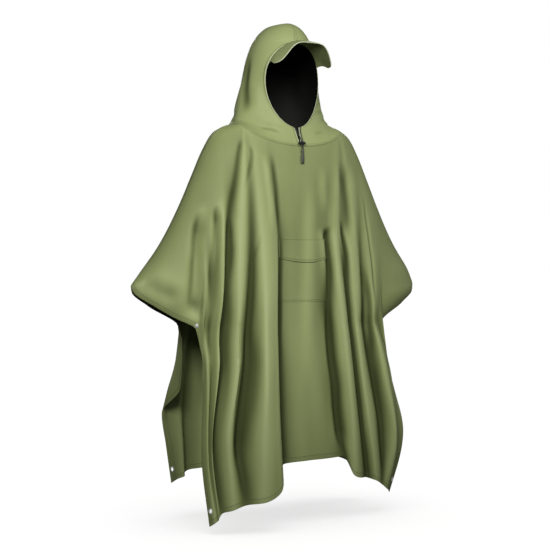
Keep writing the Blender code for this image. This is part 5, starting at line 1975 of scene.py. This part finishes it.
            half = shell(f"hood_half_{hand.word}", outer, inner, wardrobe.hood, edges, hollow)
            dress(half, "olive_cloth", f"hood_{hand.word}")
            self.build_lining(hand, outer, normals, wardrobe)

    def build_lining(self, hand: Hand, outer: Array, normals: Array,
                     wardrobe: Wardrobe) -> None:
        """Makes the lining of one half, set back from the face edge and up from the neck seam.

        Args:
            hand: Which half.
            outer: The half's outer points.
            normals: The normals there.
            wardrobe: The finishes.
        """
        face = outer - normals * (self.thickness + SEAM_GAP)
        back = face - normals * self.lining_thickness
        lined = self.brow + 1
        for layer in (face, back):
            reach = run_lengths(layer, 1)[:lined, :self.column_steps]
            share = np.clip(1 - reach / self.lining_ease, 0.0, 1.0)
            away = unit(layer[:lined, 1:self.column_steps + 1] - layer[:lined, :self.column_steps])
            layer[:lined, :self.column_steps] += away * (self.lining_setback * share)[..., None]
            layer[0] += (layer[self.row_density // 2] - layer[0]) * self.lining_lift
        made = shell(f"hood_lining_half_{hand.word}", beyond_seam(face, 0, hand.value),
                     beyond_seam(back, 0, hand.value), wardrobe.lining)
        dress(made, "lining_black", f"hood_lining_{hand.word}")


@dataclass
class Visor:
    """Stiff curved peak sewn along the top of the face edge."""

    hood: Hood
    start: float = math.radians(119)
    steps: int = 120
    rings: int = 34
    thickness: float = 0.003
    half_width: float = 0.104
    corner_depth: float = 0.125
    front_depth: float = 0.188
    top_height: float = 0.2535
    drop: float = 0.066
    drop_place: float = 2.2
    bulge: float = 0.006
    bluntness: float = 3.5
    root_slope: tuple[float, float] = (1.06, 0.02)
    tip_power: float = 0.9
    ring_power: float = 1.6
    edge_round: float = 0.0022
    edge_share: float = 0.96
    piping: tuple[float, float, float] = (0.0004, 0.0028, 0.0011)
    sink: float = 0.0008
    top_hollow: float = 2.2
    under_hollow: float = 0.0015

    def grid(self) -> Array:
        """Middle of the peak: from the face edge to a blunt tip that falls by half a cosine."""
        turns = np.linspace(self.start, 2 * math.pi - self.start, self.steps + 1)
        root = self.hood.face_edge(turns)
        behind = root * (self.root_slope[0], 1.0, 1.0) - (0.0, self.root_slope[1], 0.0)
        root = root + unit(root - behind) * 2 * SEAM_GAP
        sweep = np.linspace(math.pi / 2, -math.pi / 2, self.steps + 1)
        tip_x = self.half_width * np.sign(np.sin(sweep)) * np.abs(np.sin(sweep)) ** self.tip_power
        reach = np.sqrt(np.clip(1 - np.abs(tip_x / self.half_width) ** self.bluntness, 0.0, 1.0))
        tip_depth = self.corner_depth + (self.front_depth - self.corner_depth) * reach
        fallen = 0.5 - 0.5 * np.cos(np.pi * np.abs(tip_x / self.half_width) ** self.drop_place)
        tip = joined(tip_x, tip_depth, self.top_height - self.drop * fallen)
        share = 1 - (1 - np.linspace(0.0, 1.0, self.rings + 1)) ** self.ring_power
        rings = root + (tip - root) * share[:, None, None]
        rings[..., 2] += self.bulge * np.sin(math.pi * share)[:, None]
        return joined(rings[..., 0], -rings[..., 1], rings[..., 2])

    def build(self, wardrobe: Wardrobe) -> None:
        """Makes the peak, its edge rounded as h sqrt(1 - s (1 - d/r)^2) within r of the tip.

        Args:
            wardrobe: The finishes.
        """
        grid = self.grid()
        normals = grid_normals(grid, 2, 1.0)
        across, down = run_lengths(grid, 1), run_lengths(grid, 0)
        from_tip = down[-1:] - down
        inward = np.clip(1 - from_tip / self.edge_round, 0.0, 1.0)
        half = self.thickness / 2 * np.sqrt(1 - self.edge_share * inward ** 2)
        rise, place, width = self.piping
        ridge = rise * np.exp(-((from_tip - place) / width) ** 2)
        middle = grid - normals * self.sink
        top = middle + normals * (half + ridge)[..., None]
        under = middle - normals * half[..., None]
        edges = Edges(joined(across, from_tip), joined(across, down))
        # painted light on the peak's top face, painted shade on its underside
        peak = shell("hood_peak", top, under, wardrobe.peak, edges,
                     np.full(half.shape, self.top_hollow * PLAIN_HOLLOW),
                     np.full(half.shape, self.under_hollow))
        dress(peak, "olive_cloth", "hood_visor")


# ---------------------------------------------------------------- drawcord
class CordStop(NamedTuple):
    """A place on the cord's route: offset from the centre, depth and height."""

    offset: float
    depth: float
    height: float


CORD_STOPS = (
    CordStop(0.0125, 0.0943, -0.0080), CordStop(0.0118, 0.0988, -0.0095),
    CordStop(0.0088, 0.1038, -0.0170), CordStop(0.0056, 0.1120, -0.0300),
    CordStop(0.0030, 0.1250, -0.0480), CordStop(0.0018, 0.1300, -0.0560),
    CordStop(0.0018, 0.1300, -0.0710), CordStop(0.0018, 0.1335, -0.0800),
    CordStop(0.0018, 0.1335, -0.08414),
)


class EndSection(NamedTuple):
    """How far down the cord end a section is, and its shares of the half width and depth."""

    fall: float
    wide: float
    deep: float


CORD_END_SECTIONS = (
    EndSection(0.0000, 0.42, 0.50), EndSection(0.0012, 0.60, 0.76), EndSection(0.0040, 0.72, 0.90),
    EndSection(0.0090, 0.72, 0.90), EndSection(0.0108, 0.60, 0.78), EndSection(0.0120, 0.48, 0.66),
    EndSection(0.0136, 0.56, 0.70), EndSection(0.0165, 0.80, 0.88), EndSection(0.0240, 1.00, 1.00),
    EndSection(0.0340, 0.98, 0.98), EndSection(0.0420, 0.92, 0.92), EndSection(0.0448, 0.82, 0.76),
    EndSection(0.0460, 0.58, 0.44),
)


@dataclass
class Drawcord:
    """The drawcord's two free runs, its barrel lock and its moulded end."""

    radius: float = 0.0014
    points: int = 40
    sides: int = 20
    lock_height: float = -0.064
    lock_depth: float = 0.1300
    lock_radius: float = 0.0050
    lock_length: float = 0.025
    lock_steps: int = 120
    lock_sides: int = 48
    lock_cap_radius: float = 0.0042
    lock_cap_length: float = 0.004
    lock_groove: Span = (0.0003, 0.00035)
    lock_ribs: tuple[float, float, float] = (0.00022, 0.0011, 0.0036)
    lock_rounding: float = 0.0009
    lock_waist: Span = (0.00025, 0.0045)
    slot_half: float = 0.0038
    slot_depth: float = 0.0024
    slot_height: float = 0.03
    end_top: float = -0.0845
    end_depth: float = 0.1335
    end_half_width: float = 0.0062
    end_half_depth: float = 0.0036
    end_steps: int = 92
    end_sides: int = 40
    end_ribs: Span = (0.00020, 0.0028)
    ribs_start: Span = (0.020, 0.022)
    ribs_end: Span = (0.037, 0.039)

    def route(self, hand: Hand) -> Array:
        """The run's middle line: monotone curves through the stops by the length between them.

        Args:
            hand: Which run.

        Returns:
            Points.
        """
        stops = np.array(CORD_STOPS)
        lengths = line_lengths(stops)
        at = np.linspace(0.0, lengths[-1], self.points)
        offset, depth, height = (smooth_through(lengths, stops[:, axis], at) for axis in range(3))
        return joined(hand.value * offset, -depth, height)

    def build(self, wardrobe: Wardrobe) -> None:
        """Makes the lock, the end and the two runs that carry them.

        Args:
            wardrobe: The finishes.
        """
        lock = self.build_lock(wardrobe.lock)
        grip = self.build_end(wardrobe.grip)
        for hand in Hand:
            route = self.route(hand)
            run = self.tube(f"drawcord_run_{hand.word}", route, wardrobe.braid)
            dress(run, "cord_black", f"drawcord_{hand.word}")

    def tube(self, name: str, route: Array, finish: Material) -> Piece:
        """Capped tube along a route: p + r (side cos a + up sin a), its ends flat.

        Args:
            name: The piece's name.
            route: Points p of its middle line.
            finish: The material.

        Returns:
            The tube.
        """
        along = unit(np.gradient(route, axis=0))
        side = unit(np.cross(along, np.broadcast_to((0.0, 1.0, 0.25), along.shape)))
        up = np.cross(side, along)
        turn = np.arange(self.sides) * math.tau / self.sides
        ring = (side[:, None] * np.cos(turn)[None, :, None]
                + up[:, None] * np.sin(turn)[None, :, None])
        points = route[:, None] + ring * self.radius
        count = len(route)
        index = np.arange(count * self.sides).reshape(count, self.sides)
        after = np.roll(index, -1, axis=1)
        quads = joined(index[:-1], after[:-1], after[1:], index[1:]).reshape(-1, 4)
        mesh = bpy.data.meshes.new(name)
        faces = quads.tolist() + [index[0, ::-1].tolist(), index[-1].tolist()]
        mesh.from_pydata(points.reshape(-1, 3).tolist(), [], faces)
        length = line_lengths(route)
        share = np.arange(self.sides) / self.sides
        ends = joined(np.stack((share, share + 1 / self.sides, share + 1 / self.sides, share), 1)
                      [None].repeat(count - 1, axis=0),
                      np.stack((length[:-1], length[:-1], length[1:], length[1:]), 1)
                      [:, None].repeat(self.sides, axis=1)).reshape(-1, 2)
        values = np.zeros((len(mesh.loops), 2))
        values[:len(ends)] = ends
        mesh.uv_layers.new(name="cloth").data.foreach_set("uv", values.ravel())
        return show(name, mesh, finish)

    def build_lock(self, finish: Material) -> Piece:
        """Makes the barrel, with a ribbed plunger at one end and a closed cap at the other.

        Args:
            finish: The moulding.

        Returns:
            The lock.
        """
        half = self.lock_length / 2
        z = np.linspace(-half, half, self.lock_steps + 1)
        from_end = np.abs(z) - (half - self.lock_cap_length)
        body = np.where(from_end < 0, self.lock_radius, self.lock_cap_radius)
        depth, width = self.lock_groove
        shoulder = depth * (np.abs(from_end) < width)
        depth, pitch, reach = self.lock_ribs
        ribs = depth * (0.5 + 0.5 * np.cos(z * math.tau / pitch)) * (z > half - reach)
        rounding = self.lock_rounding * np.clip(
            (np.abs(z) - (half - self.lock_rounding)) / self.lock_rounding, 0.0, 1.0) ** 2
        depth, reach = self.lock_waist
        radius = body - ribs - rounding - depth * np.exp(-(z / reach) ** 2) - shoulder
        profile = np.concatenate((((0.0, -half),), joined(radius, z), ((0.0, half),)))
        site = np.array((0.0, -self.lock_depth, self.lock_height))
        lock = turned("barrel_cord_lock", profile, self.lock_sides, finish,
                      frame_at(site, (1.0, 0.0, 0.0)), False)
        shape = bmesh.new()
        size = Matrix.Diagonal((2 * self.slot_half, 2 * self.slot_depth, self.slot_height, 1.0))
        bmesh.ops.create_cube(shape, size=1.0, matrix=Matrix.Translation(Vector(site)) @ size)
        cut_away(lock, [placed("slot", from_shape("slot", shape))])
        return dress(lock, "trim_black", "cord_lock")

    def build_end(self, finish: Material) -> Piece:
        """Makes the cord end: ovals between the table's sections, with ribs across the grip.

        Args:
            finish: The moulding.

        Returns:
            The cord end.
        """
        fall = np.linspace(0.0, CORD_END_SECTIONS[-1].fall, self.end_steps + 1)
        wide, deep = (read(CORD_END_SECTIONS, name, fall, by="fall") for name in ("wide", "deep"))
        rise, pitch = self.end_ribs
        ribs = (rise * (0.5 + 0.5 * np.cos(fall * math.tau / pitch))
                * ease(fall, *self.ribs_start) * (1 - ease(fall, *self.ribs_end)))
        turn = np.arange(self.end_sides) * math.tau / self.end_sides
        x = (self.end_half_width * wide)[:, None] * np.cos(turn)
        y = -self.end_depth + ((self.end_half_depth - ribs) * deep)[:, None] * np.sin(turn)
        z = np.broadcast_to((self.end_top - fall)[:, None], x.shape)
        index = np.arange(x.size).reshape(x.shape)
        after = np.roll(index, -1, axis=1)
        quads = joined(index[:-1], index[1:], after[1:], after[:-1]).reshape(-1, 4)
        faces = quads.tolist() + [index[0].tolist(), index[-1, ::-1].tolist()]
        mesh = facing_out("moulded_cord_end", joined(x, y, z), faces)
        return dress(show("moulded_cord_end", mesh, finish), "cord_end_grey", "cord_end")


# ---------------------------------------------------------------- studio
class SoftBox(NamedTuple):
    """A square light: where it hangs, what it is turned to, its side and its power."""

    name: str
    place: Triple
    aim: Triple
    size: float
    power: float


SOFT_BOXES = (
    SoftBox("key", (-1.7, -2.1, 0.60), (0.0, 0.0, -0.25), 0.8, 49.5),
    SoftBox("upper", (-0.2, -2.5, 1.0), (0.0, 0.0, -0.20), 1.0, 31.5),
    SoftBox("far_side", (2.8, -0.9, 0.2), (0.0, 0.0, -0.60), 1.2, 12.0),
    SoftBox("behind", (1.5, 2.6, 0.6), (0.0, 0.0, -0.60), 1.6, 34.0),
)
WHITE = (1.0, 1.0, 1.0)


@dataclass(frozen=True)
class Studio:
    """Camera, pale floor and soft lights."""

    azimuth: float = math.radians(-30)
    distance: float = 4.2
    target_height: float = -0.45
    focal_pixels: float = 1260.0
    frame_pixels: float = 550.0
    sensor_width: float = 36.0
    clip_end: float = 60.0
    shift_pixels: Span = (-7.0, -13.0)
    floor_height: float = -1.284
    floor_half: float = 30.0
    floor_colour: Triple = (0.90, 0.90, 0.90)
    floor_roughness: float = 0.9
    floor_specular: float = 0.1
    floor_glow: float = 0.72
    floor_power: float = 0.86
    floor_softness: float = math.radians(64)
    fill: float = 0.08

    def camera(self) -> None:
        """Places the camera level with the middle of the garment."""
        data = bpy.data.cameras.new("camera")
        data.sensor_width = self.sensor_width
        data.lens = self.focal_pixels / self.frame_pixels * data.sensor_width
        data.shift_x, data.shift_y = (shift / self.frame_pixels for shift in self.shift_pixels)
        data.clip_end = self.clip_end
        made = placed("camera", data)
        made.location = (self.distance * math.sin(self.azimuth),
                         -self.distance * math.cos(self.azimuth), self.target_height)
        made.rotation_euler = (math.pi / 2, 0.0, self.azimuth)
        bpy.context.scene.camera = made

    def floor(self) -> Piece:
        """Lays a plain white floor, bright enough that only a soft shadow shows on it."""
        board = Board("studio_floor")
        board.set(Base_Color=self.floor_colour, Roughness=self.floor_roughness,
                  Specular_IOR_Level=self.floor_specular, Emission_Color=WHITE,
                  Emission_Strength=self.floor_glow)
        mesh = bpy.data.meshes.new("studio_floor")
        corners = ((-1, -1), (1, -1), (1, 1), (-1, 1))
        mesh.from_pydata([(x * self.floor_half, y * self.floor_half, self.floor_height)
                          for x, y in corners], [], [(0, 1, 2, 3)])
        mesh.materials.append(board.material)
        made = placed("studio_floor", mesh)
        made.visible_diffuse = False
        made.visible_glossy = False
        return made

    def light(self, box: SoftBox) -> None:
        """Hangs one soft box.

        Args:
            box: Its place, aim, size and power.
        """
        data = bpy.data.lights.new(box.name, "AREA")
        data.energy = box.power
        data.size = box.size
        made = placed(box.name, data)
        made.location = box.place
        made.visible_camera = False
        made.light_linking.receiver_collection = self.off_floor()
        aim = Vector(box.aim) - Vector(box.place)
        made.rotation_euler = aim.to_track_quat("-Z", "Y").to_euler()

    def off_floor(self) -> bpy.types.Collection:
        """The set of things that the soft boxes light: everything but the floor."""
        name = "all_but_floor"
        if name not in bpy.data.collections:
            bpy.data.collections.new(name).objects.link(bpy.data.objects["studio_floor"])
            bpy.data.collections[name].collection_objects[0].light_linking.link_state = "EXCLUDE"
        return bpy.data.collections[name]

    def floor_light(self, floor: Piece) -> None:
        """Hangs a broad light for the floor alone.

        Args:
            floor: The floor.
        """
        data = bpy.data.lights.new("floor_light", "SUN")
        data.energy = self.floor_power
        data.angle = self.floor_softness
        made = placed("floor_light", data)
        lit = bpy.data.collections.new("floor_light_receivers")
        lit.objects.link(floor)
        made.light_linking.receiver_collection = lit

    def lights(self) -> None:
        """Sets the white surround and the soft boxes."""
        world = bpy.data.worlds.new("studio_surround")
        world.use_nodes = True
        tree = world.node_tree
        seen = tree.nodes.new("ShaderNodeLightPath").outputs["Is Camera Ray"]
        strength = tree.nodes.new("ShaderNodeMapRange")
        strength.inputs["To Min"].default_value = self.fill
        strength.inputs["To Max"].default_value = 1.0
        tree.links.new(seen, strength.inputs["Value"])
        tree.links.new(strength.outputs["Result"], tree.nodes["Background"].inputs["Strength"])
        tree.nodes["Background"].inputs["Color"].default_value = (*WHITE, 1.0)
        bpy.context.scene.world = world
        bpy.context.scene.view_settings.view_transform = "Standard"
        for box in SOFT_BOXES:
            self.light(box)

    def build(self) -> None:
        """Sets up the camera, floor and lights."""
        self.camera()
        self.floor_light(self.floor())
        self.lights()


FRONT_CREASES = (
    Crease((-0.197, -0.053), (-0.220, -0.163), (-0.249, -0.342), 0.008, -0.007, 0.2, 0.3, 2.2),
    Crease((-0.250, -0.310), (-0.252, -0.427), (-0.264, -0.568), 0.015, -0.014, 0.3, 0.5, 1),
    Crease((-0.258, -0.474), (-0.282, -0.758), (-0.335, -1.060), 0.022, -0.017, 0.3, 0.35, 1.2),
    Crease((-0.176, -0.076), (-0.176, -0.133), (-0.207, -0.231), 0.006, -0.005, 0.2, 0.5, 1.3),
    Crease((-0.290, -0.262), (-0.303, -0.412), (-0.329, -0.625), 0.014, -0.020, 0.22, 0.4, 1.3),
    Crease((-0.330, -0.280), (-0.361, -0.437), (-0.370, -0.637), 0.018, -0.026, 0.25, 0.15, 1.6),
    Crease((-0.196, -0.640), (-0.210, -0.852), (-0.272, -1.119), 0.03, -0.021, 0.32, 0.2, 1.4),
    Crease((-0.108, -0.087), (-0.095, -0.218), (-0.092, -0.380), 0.01, -0.005, 0.3, 0.3, 1),
    Crease((-0.135, -0.091), (-0.124, -0.220), (-0.119, -0.379), 0.013, 0.005, 0.3, 0.3, 1),
    Crease((-0.086, -0.299), (-0.087, -0.572), (-0.096, -0.826), 0.009, -0.005, 0.35, 0.45, 1),
    Crease((0.084, -0.332), (0.097, -0.437), (0.108, -0.648), 0.018, -0.022, 0.25, 0.5, 1),
    Crease((0.096, -0.575), (0.117, -0.811), (0.139, -1.079), 0.019, -0.026, 0.3, 0.15, 1.2),
    Crease((0.085, -0.122), (0.077, -0.215), (0.082, -0.297), 0.022, 0.004, 0.4, 0.35, 1),
    Crease((0.145, -0.311), (0.169, -0.411), (0.181, -0.575), 0.01, -0.01, 0.3, 0.5, 1),
    Crease((0.179, -0.542), (0.203, -0.809), (0.219, -1.072), 0.009, -0.005, 0.3, 0.3, 1.2),
    Crease((0.236, -0.450), (0.265, -0.628), (0.277, -0.813), 0.012, -0.016, 0.3, 0.5, 1),
    Crease((0.265, -0.612), (0.287, -0.840), (0.308, -1.058), 0.018, -0.018, 0.25, 0.3, 1.2),
    Crease((0.261, -0.200), (0.269, -0.397), (0.281, -0.600), 0.005, -0.006, 0.3, 0.3, 1.4),
    Crease((0.175, -0.110), (0.184, -0.243), (0.181, -0.427), 0.026, -0.015, 0.35, 0.4, 1),
    Crease((0.036, -0.134), (0.008, -0.476), (-0.004, -0.894), 0.032, 0.007, 0.35, 0.35, 1),
    Crease((-0.243, -0.523), (-0.258, -0.755), (-0.307, -1.027), 0.009, 0.004, 0.35, 0.35, 1),
    Crease((-0.168, -0.521), (-0.183, -0.755), (-0.203, -1.059), 0.018, 0.006, 0.35, 0.35, 1),
    Crease((-0.302, -0.507), (-0.327, -0.724), (-0.358, -0.969), 0.009, 0.003, 0.35, 0.35, 1),
    Crease((0.124, -0.541), (0.145, -0.803), (0.154, -1.047), 0.008, 0.002, 0.35, 0.35, 1),
    Crease((0.284, -0.544), (0.336, -0.731), (0.337, -0.962), 0.009, 0.006, 0.35, 0.35, 1),
    Crease((-0.162, -0.357), (-0.174, -0.403), (-0.185, -0.454), 0.006, -0.003, 0.4, 0.4, 1),
    Crease((-0.412, -0.578), (-0.470, -0.537), (-0.525, -0.512), 0.034, -0.01, 0.35, 0.15, 1),
)
BACK_CREASES = (
    Crease((-0.060, -0.030), (-0.080, -0.140), (-0.095, -0.270), 0.020, -0.005),
    Crease((0.050, -0.030), (0.078, -0.150), (0.090, -0.280), 0.022, -0.0055),
    Crease((-0.088, -0.420), (-0.092, -0.720), (-0.094, -1.020), 0.016, -0.010, 0.3, 0.3, 1.3),
    Crease((0.080, -0.380), (0.088, -0.700), (0.095, -1.030), 0.015, -0.011, 0.3, 0.3, 1.2),
    Crease((-0.206, -0.340), (-0.210, -0.660), (-0.215, -1.000), 0.017, -0.013, 0.25, 0.3, 1.3),
    Crease((0.212, -0.360), (0.222, -0.700), (0.234, -1.040), 0.016, -0.012, 0.3, 0.3, 1.3),
    Crease((-0.310, -0.300), (-0.330, -0.440), (-0.336, -0.620), 0.011, -0.014, 0.25, 0.4, 1.3),
    Crease((0.300, -0.290), (0.322, -0.430), (0.330, -0.610), 0.011, -0.013, 0.25, 0.4, 1.3),
    Crease((-0.152, -0.500), (-0.158, -0.760), (-0.163, -1.020), 0.016, 0.005, 0.35, 0.35),
    Crease((0.158, -0.500), (0.166, -0.760), (0.178, -1.030), 0.016, 0.005, 0.35, 0.35),
)


def main() -> None:
    """Builds the camera, the cords, then every cloth piece and fitting."""
    logging.basicConfig(level=logging.INFO, format="%(name)s %(message)s")
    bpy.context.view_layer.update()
    Studio().build()
    wardrobe = Wardrobe()
    Drawcord().build(wardrobe)
    front_right = PanelHalf(Facing.FRONT, Hand.RIGHT, FRONT_RIGHT_EDGE, FRONT_RIGHT_FOLDS)
    front_left = PanelHalf(Facing.FRONT, Hand.LEFT, FRONT_LEFT_EDGE, FRONT_LEFT_FOLDS)
    back_right = PanelHalf(Facing.BACK, Hand.RIGHT, BACK_RIGHT_EDGE, BACK_RIGHT_FOLDS)
    back_left = PanelHalf(Facing.BACK, Hand.LEFT, BACK_LEFT_EDGE, BACK_LEFT_FOLDS)
    front = Panel(Facing.FRONT, front_right, front_left, FRONT_CREASES, (1.45, 1.15), 1.25)
    back = Panel(Facing.BACK, back_right, back_left, BACK_CREASES, (1.45, 1.15), 1.25)
    front.build(wardrobe)
    back.build(wardrobe)
    ChestPocket(front).build(wardrobe)
    hood = Hood(front_right, back_right)
    hood.build(wardrobe)
    Visor(hood).build(wardrobe)


if __name__ == "__main__":
    main()
